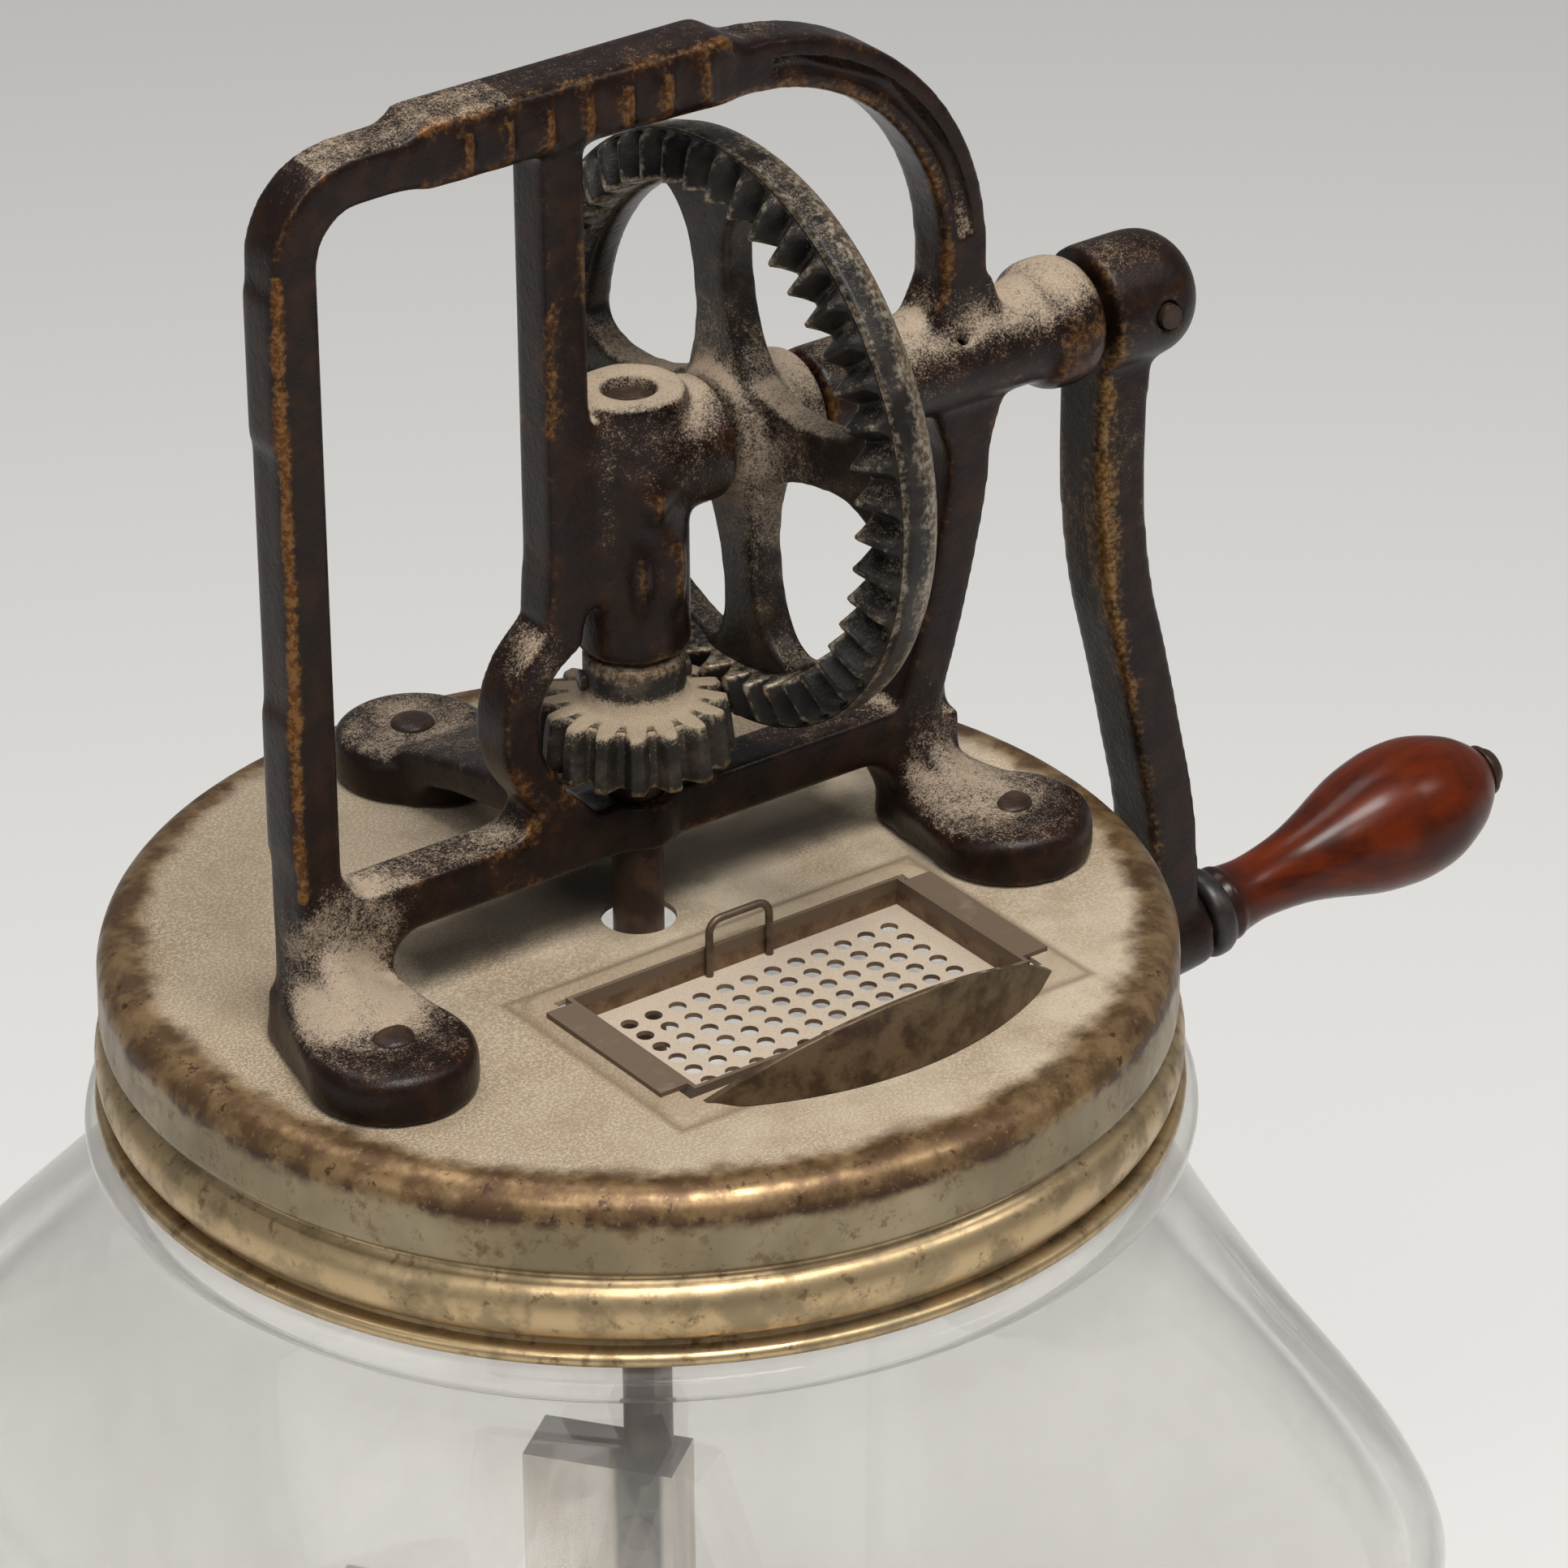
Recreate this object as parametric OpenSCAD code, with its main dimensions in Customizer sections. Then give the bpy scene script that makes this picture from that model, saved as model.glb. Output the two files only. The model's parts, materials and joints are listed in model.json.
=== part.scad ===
// Hand-cranked table butter churn: a square glass jar with a screwed tin lid, a cast gear frame
// riveted to the lid, a bevel gear pair, a side crank and a wooden dasher on a vertical rod.
// The origin is the centre of the jar's flat base, +Z is up and +X is the crank side.

/* [Jar] */
// Height of the lid's top plate above the table
lid_z = 225; // [215:1:250]
// Width of the jar across its flat sides
jar_w = 156.5; // [152:0.5:162]
// Corner radius of the square body
jar_corner_r = 19; // [14:1:28]
// Glass thickness
jar_wall = 4; // [3:0.25:5]
// Angle at which the jar stands under the screwed lid
jar_turn = -4; // [-12:1:12]

/* [Lid] */
// Radius of the lid's side wall
lid_r = 66.6; // [66:0.1:67.2]
// Thickness of the tin sheet
tin = 0.8; // [0.6:0.1:1]
// Radius of the hole that the dasher rod passes through
rod_hole_r = 4.7; // [4.2:0.1:5.5]

/* [Frame] */
// Height of the crank shaft above the lid
shaft_z = 62.5; // [62:0.5:63]
// Height of the frame's top bar centre line above the lid
bar_z = 110; // [109:0.5:112]
// Front to back thickness of the frame's bars
bar_t = 7.2; // [6:0.2:8]
// Width of the frame's bars in the frame's own plane
bar_w = 6.2; // [5.4:0.2:7]

/* [Wheel] */
// Outer radius of the crank wheel
gear_r = 37.3; // [37:0.1:37.6]

/* [Crank] */
// Radius of the crank shaft
shaft_r = 4; // [3.8:0.1:4.2]
// Distance from the shaft to the grip
crank_throw = 93; // [90:1:96]
// Length of the wooden grip
grip_l = 46; // [44:1:50]
// Tilt of the grip away from the shaft's direction
grip_tilt = 6.5; // [0:0.5:8]

/* [Dasher] */
// Radius of the dasher rod
rod_r = 3.175; // [3:0.025:3.3]
// Angle at which the dasher stands at rest
dasher_turn = -53; // [-90:1:90]
// Length of a dasher blade
blade_l = 92; // [80:1:100]
// Height of a dasher blade
blade_h = 34; // [28:1:38]

/* [Strainer] */
// Length of the strainer tray
tray_l = 50; // [49:0.5:50.5]
// Width of the strainer tray
tray_w = 26.6; // [26:0.1:27]
// Diameter of a strainer hole
hole_d = 2.2; // [1.8:0.1:2.4]
// Pitch of the strainer holes along the tray
hole_pitch = 3.56; // [3.4:0.02:3.58]
// Pitch of the strainer holes across the tray
row_pitch = 3.3; // [3.1:0.05:3.35]

/* [Hidden] */
$fn = 48;

run_gap = 0.06;      // radial clearance of a turning fit
fix_gap = 0.02;      // radial clearance of a fixed fit
eps = 0.01;

// jar, heights measured down from the lid's top plate
lip_drop = 0.8;
neck_r = 63;
bead_r = 69.2;
shoulder_drop = 33;
wall_drop = 81;
shoulder_neck_r = 64.2;
shoulder_power = 1.46;
jar_foot_r = 12;
jar_floor = 7;
ring_pts = 60;

// strainer opening in the lid
open_l = 52.5;
open_w = 28.2;
open_x = 4.9;
open_y = -26.5;
curb_w = 3.6;
curb_front = 1.2;
curb_h = 0.8;
tray_depth = 2.8;

// riveted feet: three points on the lid
feet = [[-46.8, -15.8], [46.6, -14.2], [-0.9, 48.2]];
foot_h = 6.6;
foot_r = 10.4;
rivet_r = 2;
rivet_head_r = 2.9;

// frame, plane of the casting is XZ
post_x = -47.7;
mid_x = -10.8;
arc_c = [15.5, 77];
arc_r = 32.4;
boss_r = 7;
boss_top = 72;
boss_bottom = 37.7;
low_bar_z = 14.6;
side_boss_end = 10.6;
housing_x0 = 25.2;
housing_x1 = 62;
collar_x1 = 67.6;
housing_r = 6.6;
collar_r = 8.3;

// gears
crest_in = [32, 9.9];    // radius and x of a wheel tooth's inner tip
crest_out = [gear_r, 11.2];
tooth_d = 2.6;
wheel_back_x = 18.9;
hub_x0 = 11.2;
hub_x1 = 24.6;
hub_r = 8;
gear_phase = -8;
gear_teeth = 45;
pinion_teeth = 16;
pinion_z0 = 22.8;
pinion_z1 = 30.3;
pinion_r0 = 12.35;
pinion_r1 = 11.5;
pinion_d = 2.0;
neck_top_z = 37.2;

// crank
arm_x0 = 68.4;
crank_hub_r = 8.2;
crank_hub_x1 = 84;
arm_end_x = 82.5;
grip_x0 = 88.2;

// grip
spindle_r = 2.4;
arm_boss_l = 10;
ferrule_l = 3.4;
grip_end = ferrule_l + grip_l;

// dasher, heights measured down from the lid
stem_top = 79;
stem_l = 104;
stem_w = 20;
stem_t = 9.5;
stem_off = -5.5;
rod_bottom = 186;
blade_t = 6;
blade_drop = [112, 148];

module lid_frame() translate([0, 0, lid_z]) children();

// turns a profile drawn along Z so that it runs along +X
module along_x() rotate([0, 90, 0]) children();

// ---------- jar ----------

// distance from the axis to a rounded square of half width a at angle t
function square_r(a, rc, t) =
    let (u = abs(((t + 45) % 90 + 90) % 90 - 45),
         c = a - rc,
         b = (cos(u) + sin(u)) * c,
         flat_y = a * tan(u))
    flat_y <= c ? a / cos(u) : b + sqrt(max(b * b - (2 * c * c - rc * rc), 0));

// one level of the jar: height, share of squareness, circle radius, half width, corner radius
function level(z, w, r, a, rc) = [z, w, r, a, rc];

function level_pts(l) = [for (i = [0:ring_pts - 1])
    let (t = i * 360 / ring_pts,
         q = l[2] + (square_r(l[3], l[4], t) - l[2]) * l[1])
    [q * cos(t), q * sin(t), l[0]]];

function shoulder_share(d) = 1 - pow(1 - d, shoulder_power);

jar_a = jar_w / 2;
shoulder_top = lid_z - shoulder_drop;
shoulder_end = lid_z - wall_drop;

outer_levels = concat(
    [for (s = [0:22.5:90])
        level(jar_foot_r * (1 - cos(s)), 1, neck_r, jar_a - jar_foot_r * (1 - sin(s)),
              max(jar_corner_r - jar_foot_r * (1 - sin(s)), 6))],
    [for (d = [1:-1 / 8:0])
        level(shoulder_top + (shoulder_end - shoulder_top) * d, shoulder_share(d),
              shoulder_neck_r, jar_a, jar_corner_r)],
    [level(lid_z - 30, 0, 64.4, jar_a, jar_corner_r),
     level(lid_z - 27.6, 0, 65.4, jar_a, jar_corner_r),
     level(lid_z - 26.9, 0, 68.2, jar_a, jar_corner_r),
     level(lid_z - 26, 0, bead_r, jar_a, jar_corner_r),
     level(lid_z - 24.4, 0, bead_r, jar_a, jar_corner_r),
     level(lid_z - 23.5, 0, 68.2, jar_a, jar_corner_r),
     level(lid_z - 22.9, 0, 65.4, jar_a, jar_corner_r),
     level(lid_z - 22, 0, neck_r, jar_a, jar_corner_r),
     level(lid_z - lip_drop - 1.4, 0, neck_r, jar_a, jar_corner_r),
     level(lid_z - lip_drop - 0.4, 0, neck_r - 0.5, jar_a, jar_corner_r),
     level(lid_z - lip_drop, 0, neck_r - 1.6, jar_a, jar_corner_r)]);

inner_levels = concat(
    [level(lid_z - lip_drop, 0, neck_r - jar_wall + 1.4, jar_a, jar_corner_r),
     level(lid_z - lip_drop - 0.6, 0, neck_r - jar_wall + 0.3, jar_a, jar_corner_r),
     level(lid_z - lip_drop - 1.8, 0, neck_r - jar_wall, jar_a, jar_corner_r),
     level(lid_z - 30, 0, neck_r - jar_wall, jar_a, jar_corner_r)],
    [for (d = [0:1 / 8:1])
        level(shoulder_top + (shoulder_end - shoulder_top) * d - 2.4, shoulder_share(d),
              shoulder_neck_r - jar_wall, jar_a - jar_wall, jar_corner_r - jar_wall)],
    [for (s = [90:-22.5:0])
        level(jar_floor + jar_foot_r * (1 - cos(s)), 1, neck_r,
              jar_a - jar_wall - jar_foot_r * (1 - sin(s)),
              max(jar_corner_r - jar_wall - jar_foot_r * (1 - sin(s)), 4))]);

module jar_skin() {
    levels = concat(outer_levels, inner_levels);
    n = ring_pts;
    rows = len(levels);
    pts = concat([for (l = levels) each level_pts(l)], [[0, 0, 0], [0, 0, jar_floor]]);
    sides = [for (k = [0:rows - 2], i = [0:n - 1])
        let (j = (i + 1) % n)
        each [[k * n + i, (k + 1) * n + i, (k + 1) * n + j], [k * n + i, (k + 1) * n + j, k * n + j]]];
    base = [for (i = [0:n - 1]) [rows * n, i, (i + 1) % n]];
    floor_fan = [for (i = [0:n - 1])
        [rows * n + 1, (rows - 1) * n + (i + 1) % n, (rows - 1) * n + i]];
    polyhedron(points = pts, faces = concat(sides, base, floor_fan), convexity = 6);
}

module glass_jar() color("lightcyan", 0.4) rotate([0, 0, jar_turn]) jar_skin();

// ---------- lid ----------

// outer side of the tin: radius and height below the top plate
lid_side = concat(
    [for (a = [90:-15:0]) [lid_r - 3.8 + 3.8 * cos(a), -3.8 + 3.8 * sin(a)]],
    [[lid_r, -10.2], [lid_r - 1.7, -11.1], [lid_r - 1.7, -12.2]],
    [for (a = [75:-15:-75]) [lid_r - 1.5 + 2.4 * cos(a), -16.1 + 3.8 * sin(a)]],
    [[lid_r - 1.5, -20.6]],
    [for (a = [60:-30:-90]) [lid_r + 0.2 + 0.9 * cos(a), -21.7 + 0.9 * sin(a)]]);

module lid_shell() {
    inner = [for (i = [len(lid_side) - 1:-1:0]) [lid_side[i][0] - tin, min(lid_side[i][1], -tin)]];
    rotate_extrude($fn = 144) polygon(concat([[0, 0]], lid_side, inner, [[0, -tin]]));
}

module lid_cap() color("burlywood") lid_frame() difference() {
    union() {
        lid_shell();
        translate([open_x - open_l / 2 - curb_w, open_y - open_w / 2 - curb_front, -eps])
            cube([open_l + 2 * curb_w, open_w + curb_w + curb_front, curb_h + eps]);
    }
    translate([open_x, open_y, 0]) cube([open_l, open_w, 8], center = true);
    cylinder(r = rod_hole_r, h = 8, center = true);
    for (f = feet) translate([f[0], f[1], 0]) cylinder(r = rivet_r + fix_gap, h = 8, center = true);
}

lip_chord = 53.4;
lip_sag = 8.2;
lip_h = 10.2;
lip_y = -42;
lip_t = 0.8;
lip_arc_r = (lip_chord * lip_chord / 4 + lip_sag * lip_sag) / (2 * lip_sag);
lip_top_r = (lip_chord * lip_chord / 4 + lip_h * lip_h) / (2 * lip_h);

module pour_lip() color("saddlebrown") lid_frame() intersection() {
    translate([open_x + 0.5, lip_y + lip_arc_r - lip_sag, 0]) difference() {
        cylinder(r = lip_arc_r, h = lip_h + 1, $fn = 160);
        translate([0, 0, -1]) cylinder(r = lip_arc_r - lip_t, h = lip_h + 3, $fn = 160);
    }
    translate([open_x + 0.5, lip_y + 5, lip_h - lip_top_r]) rotate([90, 0, 0])
        cylinder(r = lip_top_r, h = 20, $fn = 160);
}

// ---------- strainer ----------

tray_top = curb_h;
tray_floor = -tray_depth;
tray_tin = 0.6;
flange_w = 2.6;

module tray_box(l, w, z0, z1) translate([open_x - l / 2, open_y - w / 2, z0]) cube([l, w, z1 - z0]);

module strainer_tray() color("peru") lid_frame() difference() {
    union() {
        tray_box(tray_l, tray_w, tray_floor, tray_top + tray_tin);
        tray_box(open_l + 2 * flange_w, tray_w - 3, tray_top, tray_top + tray_tin);
    }
    tray_box(tray_l - 2 * tray_tin, tray_w - 2 * tray_tin, tray_floor + tray_tin, tray_top + 5);
    for (i = [-6:6], j = [-3:3])
        translate([open_x - 1.2 + i * hole_pitch, open_y - 1.3 + j * row_pitch, tray_floor - 1])
            cylinder(d = hole_d, h = 3, $fn = 16);
}

bail_w = 9;
bail_r = 0.5;
bail_top = 5.4;
bail_bend = 1.8;
bail_y = open_y + tray_w / 2 - tray_tin - bail_r;

module bail_leg(x) translate([x, bail_y, tray_floor + tray_tin])
    cylinder(r = bail_r, h = bail_top - bail_bend - tray_floor - tray_tin, $fn = 16);

module bail_corner(x, a) translate([x, bail_y, bail_top - bail_bend]) rotate([90, 0, 0])
    rotate([0, 0, a]) rotate_extrude(angle = 90, $fn = 48)
        translate([bail_bend, 0]) circle(r = bail_r, $fn = 16);

module strainer_bail() color("dimgray") lid_frame() {
    bail_leg(open_x - bail_w / 2);
    bail_leg(open_x + bail_w / 2);
    bail_corner(open_x - bail_w / 2 + bail_bend, 90);
    bail_corner(open_x + bail_w / 2 - bail_bend, 0);
    translate([open_x - bail_w / 2 + bail_bend, bail_y, bail_top]) along_x()
        cylinder(r = bail_r, h = bail_w - 2 * bail_bend, $fn = 16);
}

// ---------- gear frame ----------

function arc_pts(c, r, a0, da, w, n = 12) = [for (k = [0:n])
    [c[0] + r * cos(a0 + k * da / n), c[1] + r * sin(a0 + k * da / n), w]];

// smooth curve through points, with n steps between two of them
function curve(pts, n = 5) = let (last = len(pts) - 1) concat(
    [for (i = [0:last - 1], k = [0:n - 1])
        let (t = k / n,
             p0 = pts[max(i - 1, 0)],
             p1 = pts[i],
             p2 = pts[i + 1],
             p3 = pts[min(i + 2, last)])
        0.5 * (2 * p1 + (p2 - p0) * t + (2 * p0 - 5 * p1 + 4 * p2 - p3) * t * t
               + (3 * p1 - p0 - 3 * p2 + p3) * t * t * t)],
    [pts[last]]);

function step_at(pts, i) = let (v = [pts[i][0] - pts[i - 1][0], pts[i][1] - pts[i - 1][1]]) v / norm(v);

// sideways direction of a path at point i, as long as a mitred corner needs
function side_at(pts, i) =
    let (a = step_at(pts, max(i, 1)),
         b = step_at(pts, min(i + 1, len(pts) - 1)),
         m = [-a[1] - b[1], a[0] + b[0]] / norm(a + b))
    m / (m * [-a[1], a[0]]);

// flat bar along a path of points [x, z, width]
module ribbon(pts) {
    left = [for (i = [0:len(pts) - 1]) [pts[i][0], pts[i][1]] + side_at(pts, i) * pts[i][2] / 2];
    right = [for (i = [len(pts) - 1:-1:0]) [pts[i][0], pts[i][1]] - side_at(pts, i) * pts[i][2] / 2];
    polygon(concat(left, right));
}

// stands a flat outline up in the XZ plane and gives it a thickness in Y
module upright(t) rotate([90, 0, 0]) linear_extrude(height = t, center = true) children();

module foot_pad(p) translate([p[0], p[1], 0]) rotate_extrude($fn = 64)
    polygon([[0, 0], [foot_r, 0], [foot_r, foot_h - 2.2], [foot_r - 0.6, foot_h - 0.7],
             [foot_r - 2.2, foot_h], [0, foot_h]]);

// round bar running along X about the shaft's axis
module shaft_round(x0, x1, r) translate([x0, 0, shaft_z]) along_x() cylinder(r = r, h = x1 - x0);

// rounded end of the crank shaft's housing
module shaft_collar() translate([housing_x1 - 3, 0, shaft_z]) along_x() rotate_extrude($fn = 64)
    polygon([[0, 0], [housing_r, 0], [collar_r - 0.5, 0.9], [collar_r, 2.4], [collar_r, 5.6],
             [collar_r - 0.7, 7.4], [collar_r - 2.2, collar_x1 - housing_x1 + 3],
             [0, collar_x1 - housing_x1 + 3]]);

outer_path = concat(
    [[post_x, low_bar_z, bar_w]],
    arc_pts([post_x + 9, bar_z - 9], 9, 180, -90, bar_w, 8),
    [[-28, bar_z + 0.2, bar_w]],
    arc_pts(arc_c, arc_r, 96, -100, 6.6, 16),
    curve([[48.9, 58, 6.4], [48.4, 46, 6.4], [44.6, 29, 6.4], [40, low_bar_z, 6.8]], 4));

mid_path = concat(
    [[mid_x, bar_z - 1, 6], [mid_x, 51.5, 6]],
    arc_pts([-6, 32], 12.6, 118, 114, 5.2, 12),
    [[-12.6, low_bar_z, 5.6]]);

module frame_outline() {
    ribbon(outer_path);
    ribbon(mid_path);
    translate([mid_x, 46]) square([7, 24]);
    translate([post_x, low_bar_z - 3.4]) square([91, 6.8]);
}

// bosses that carry the dasher rod and the crank shaft
module frame_bosses() {
    translate([0, 0, boss_bottom]) cylinder(r = boss_r, h = boss_top - boss_bottom);
    shaft_round(0, side_boss_end, 7.9);
    shaft_round(housing_x0, housing_x1, housing_r);
    shaft_collar();
    translate([0, 0, 11.3]) cylinder(r = 5.2, h = 6.3);
    translate([-30, -4.3, bar_z - 3.6]) cube([42.5, 8.6, 8.4]);
}

// arched strap from the low bar to the back foot: depth and height
back_strap = [[3, 11.2], [3, 16.4], [12, 14.6], [24, 12], [36, 9.2], [42, 7.4], [44.2, 6.4], [44.2, 0],
              [39, 0], [38.4, 2], [36, 4.4], [30, 6.2], [18, 8.4]];

module frame_feet() {
    for (f = feet) foot_pad(f);
    translate([post_x - 4.6, feet[0][1], 0]) cube([14.5, 19, foot_h]);
    translate([post_x - 3.1, -3.5, 0.5]) cube([13, 7, low_bar_z]);
    translate([38.6, feet[1][1], 0]) cube([10.8, 15.4, foot_h]);
    translate([38.6, -3.5, 0.5]) cube([8.6, 7, low_bar_z]);
    translate([-7.4, 0, 0]) rotate([90, 0, 90]) linear_extrude(13) polygon(back_strap);
}

module gear_frame() color([0.25, 0.18, 0.14]) lid_frame() difference() {
    union() {
        upright(bar_t) frame_outline();
        frame_bosses();
        frame_feet();
    }
    translate([0, 0, 5]) cylinder(r = rod_r + run_gap, h = 75);
    translate([0, 0, pinion_z0 - 0.6]) cylinder(r = pinion_r0 + 0.5, h = pinion_z1 - pinion_z0 + 1.2);
    shaft_round(4.2, side_boss_end + 1, shaft_r + run_gap);
    shaft_round(housing_x0 - 1, collar_x1 + 1, shaft_r + run_gap);
    translate([46.5, -1.6, shaft_z]) rotate([35, 0, 0]) cylinder(r = 1, h = 12, $fn = 24);
    for (f = feet) translate([f[0], f[1], -1]) cylinder(r = rivet_r + fix_gap, h = foot_h + 2);
}

module frame_rivets() color("sienna") lid_frame() for (f = feet) translate([f[0], f[1], 0]) {
    translate([0, 0, -tin - 0.6]) cylinder(r = rivet_r, h = foot_h + tin + 0.9);
    translate([0, 0, foot_h]) cylinder(r1 = rivet_head_r, r2 = rivet_head_r - 0.6, h = 0.9);
    translate([0, 0, -tin - 0.9]) cylinder(r = rivet_head_r, h = 0.9);
}

// ---------- crank and wheel ----------

module crank_shaft() color("gray") lid_frame() difference() {
    shaft_round(5, crank_hub_x1 - 1.2, shaft_r);
    gear_pin_hole();
    crank_pin_hole();
}

pin_r = 1.6;
gear_pin_x = 22;
gear_pin_lean = 28;
crank_pin_x = 76;

module gear_pin_axis() translate([gear_pin_x, 0, shaft_z]) rotate([90 + gear_pin_lean, 0, 0]) children();

module gear_pin_hole() gear_pin_axis() cylinder(r = pin_r + fix_gap, h = 40, center = true, $fn = 32);

module crank_pin_hole() translate([crank_pin_x, 0, shaft_z]) rotate([90, 0, 0])
    cylinder(r = pin_r + fix_gap, h = 40, center = true, $fn = 32);

// crest position along the shaft at radius r of the wheel
function crest_x(r) =
    crest_in[1] + (r - crest_in[0]) * (crest_out[1] - crest_in[1]) / (crest_out[0] - crest_in[0]);

// one wheel tooth in the wheel's own frame: its axis is Z, its crest faces -Z
module wheel_tooth() {
    ri = crest_in[0];
    ro = gear_r - 0.3;
    tip = 0.6;
    foot = 1.5;
    pts = [for (r = [ri, ro]) each [
        [r, -tip * r / ro, crest_x(r)], [r, tip * r / ro, crest_x(r)],
        [r, foot * r / ro, crest_x(r) + tooth_d + 0.4], [r, -foot * r / ro, crest_x(r) + tooth_d + 0.4]]];
    polyhedron(pts, [[0, 1, 2, 3], [7, 6, 5, 4], [0, 4, 5, 1], [1, 5, 6, 2], [2, 6, 7, 3], [3, 7, 4, 0]]);
}

module wheel_rim() rotate_extrude($fn = 144) polygon([
    [30.6, crest_x(30.6) + tooth_d + 1.2], [crest_in[0] - 0.4, crest_x(31) + tooth_d],
    [gear_r, crest_x(gear_r) + tooth_d], [gear_r, wheel_back_x],
    [33.5, wheel_back_x + 0.6], [30.6, wheel_back_x]]);

module wheel_spoke() linear_extrude(height = 4.8)
    polygon([[5, -5], [9, -4.2], [20, -3.4], [28, -4], [31, -6.4],
             [31, 6.4], [28, 4], [20, 3.4], [9, 4.2], [5, 5]]);

module drive_gear() color([0.22, 0.18, 0.15]) lid_frame() difference() {
    translate([0, 0, shaft_z]) rotate([gear_phase, 0, 0]) along_x() {
        wheel_rim();
        for (i = [0:gear_teeth - 1]) rotate([0, 0, i * 360 / gear_teeth]) wheel_tooth();
        for (i = [0:3]) rotate([0, 0, i * 90]) translate([0, 0, 13.6]) wheel_spoke();
        translate([0, 0, hub_x0]) cylinder(r = hub_r, h = hub_x1 - hub_x0);
    }
    shaft_round(hub_x0 - 1, hub_x1 + 1, shaft_r + fix_gap);
    gear_pin_hole();
}

module gear_pin() color("dimgray") lid_frame() gear_pin_axis() {
    cylinder(r = pin_r, h = 2 * (hub_r + 0.6), center = true, $fn = 32);
    translate([0, 0, hub_r]) cylinder(r1 = 2.7, r2 = 2, h = 2.6, $fn = 32);
}

// ---------- crank ----------

arm_path = curve([[arm_x0 + 4.6, shaft_z, 8], [arm_x0 + 3.4, 42, 7.4], [73.2, 25.3, 7.2], [76.1, 12.9, 7.2],
                  [78.9, 0.2, 7.2], [81.4, -12.5, 7.2], [arm_end_x, shaft_z - crank_throw, 7.4]], 3);

module crank_arm() color([0.27, 0.2, 0.15]) lid_frame() difference() {
    union() {
        translate([arm_x0, 0, shaft_z]) along_x() rotate_extrude($fn = 64)
            polygon(concat([[0, 0], [crank_hub_r, 0]],
                           [for (a = [0:15:75]) [crank_hub_r * cos(a), 9 + 6.6 * sin(a)]],
                            [[0, 9 + 6.6 * sin(75)]]));
        upright(9.4) ribbon(arm_path);
        grip_axis() translate([0, 0, -arm_boss_l]) cylinder(r = 6, h = arm_boss_l - 0.4);
    }
    shaft_round(arm_x0 - 1, crank_hub_x1 - 1, shaft_r + fix_gap);
    crank_pin_hole();
    grip_axis() translate([0, 0, -20]) cylinder(r = spindle_r + fix_gap, h = 30);
}

module crank_pin() color("dimgray") lid_frame() translate([crank_pin_x, 0, shaft_z]) rotate([90, 0, 0])
    cylinder(r = pin_r, h = 2 * crank_hub_r + 0.6, center = true, $fn = 32);

// frame of the grip: its Z runs outwards along the grip from the face of the arm
module grip_axis() translate([grip_x0, 0, shaft_z - crank_throw]) rotate([0, 90 - grip_tilt, 0]) children();

module grip_spindle() color("dimgray") lid_frame() grip_axis() {
    translate([0, 0, -arm_boss_l - 1]) cylinder(r = spindle_r, h = arm_boss_l + grip_end + 2);
    translate([0, 0, -arm_boss_l - 1.8]) cylinder(r = 4, h = 1.8);
    translate([0, 0, grip_end + 1]) cylinder(r1 = 3.2, r2 = 2.5, h = 1.3);
}

module grip_ferrule() color("black") lid_frame() grip_axis() rotate_extrude($fn = 64) difference() {
    union() {
        square([5.2, ferrule_l]);
        translate([4.6, ferrule_l / 2]) circle(r = 1.5, $fn = 32);
    }
    translate([0, -1]) square([spindle_r + run_gap, 8]);
}

// grip outline: share of the grip's length and radius
grip_side = [[0, 4.9], [0.03, 5.2], [0.06, 4.7], [0.13, 4.4], [0.21, 4.6], [0.3, 5.2], [0.39, 6.3],
             [0.48, 7.7], [0.56, 8.8], [0.65, 9.4], [0.71, 9.5], [0.78, 9.2], [0.84, 8.4], [0.91, 7],
             [0.955, 5.5], [0.985, 4.1], [1, 3.4]];

module wood_grip() color("maroon") lid_frame() grip_axis() translate([0, 0, ferrule_l])
    rotate_extrude($fn = 72)
    polygon(concat([[spindle_r + run_gap, 0]], [for (p = grip_side) [p[1], p[0] * grip_l]],
                   [[spindle_r + run_gap, grip_l]]));

module grip_washer() color("dimgray") lid_frame() grip_axis() translate([0, 0, grip_end + 0.1]) difference() {
    cylinder(r = 3.6, h = 0.8);
    translate([0, 0, -1]) cylinder(r = spindle_r + fix_gap, h = 4);
}

// ---------- dasher ----------

module pinion_tooth() {
    tip = 0.55;
    foot = 1.25;
    pts = [for (s = [[pinion_z0, pinion_r0], [pinion_z1, pinion_r1]]) each [
        [s[1], -tip, s[0]], [s[1], tip, s[0]],
        [s[1] - pinion_d - 0.4, foot, s[0]], [s[1] - pinion_d - 0.4, -foot, s[0]]]];
    polyhedron(pts, [[0, 1, 2, 3], [7, 6, 5, 4], [0, 4, 5, 1], [1, 5, 6, 2], [2, 6, 7, 3], [3, 7, 4, 0]]);
}

pinion_phase = 11.25;

module pinion_gear() color([0.22, 0.18, 0.15]) lid_frame() difference() {
    rotate([0, 0, pinion_phase]) {
        translate([0, 0, pinion_z0])
            cylinder(r1 = pinion_r0 - pinion_d, r2 = pinion_r1 - pinion_d,
                     h = pinion_z1 - pinion_z0, $fn = 64);
        for (i = [0:pinion_teeth - 1]) rotate([0, 0, i * 360 / pinion_teeth]) pinion_tooth();
        translate([0, 0, pinion_z1 - 1]) cylinder(r = 6.4, h = neck_top_z - pinion_z1 + 1);
    }
    translate([0, 0, pinion_z0 - 1]) cylinder(r = rod_r + fix_gap, h = neck_top_z - pinion_z0 + 2);
    pinion_pin_hole();
}

pinion_pin_z = 33.6;
pinion_pin_r = 1.3;

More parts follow.
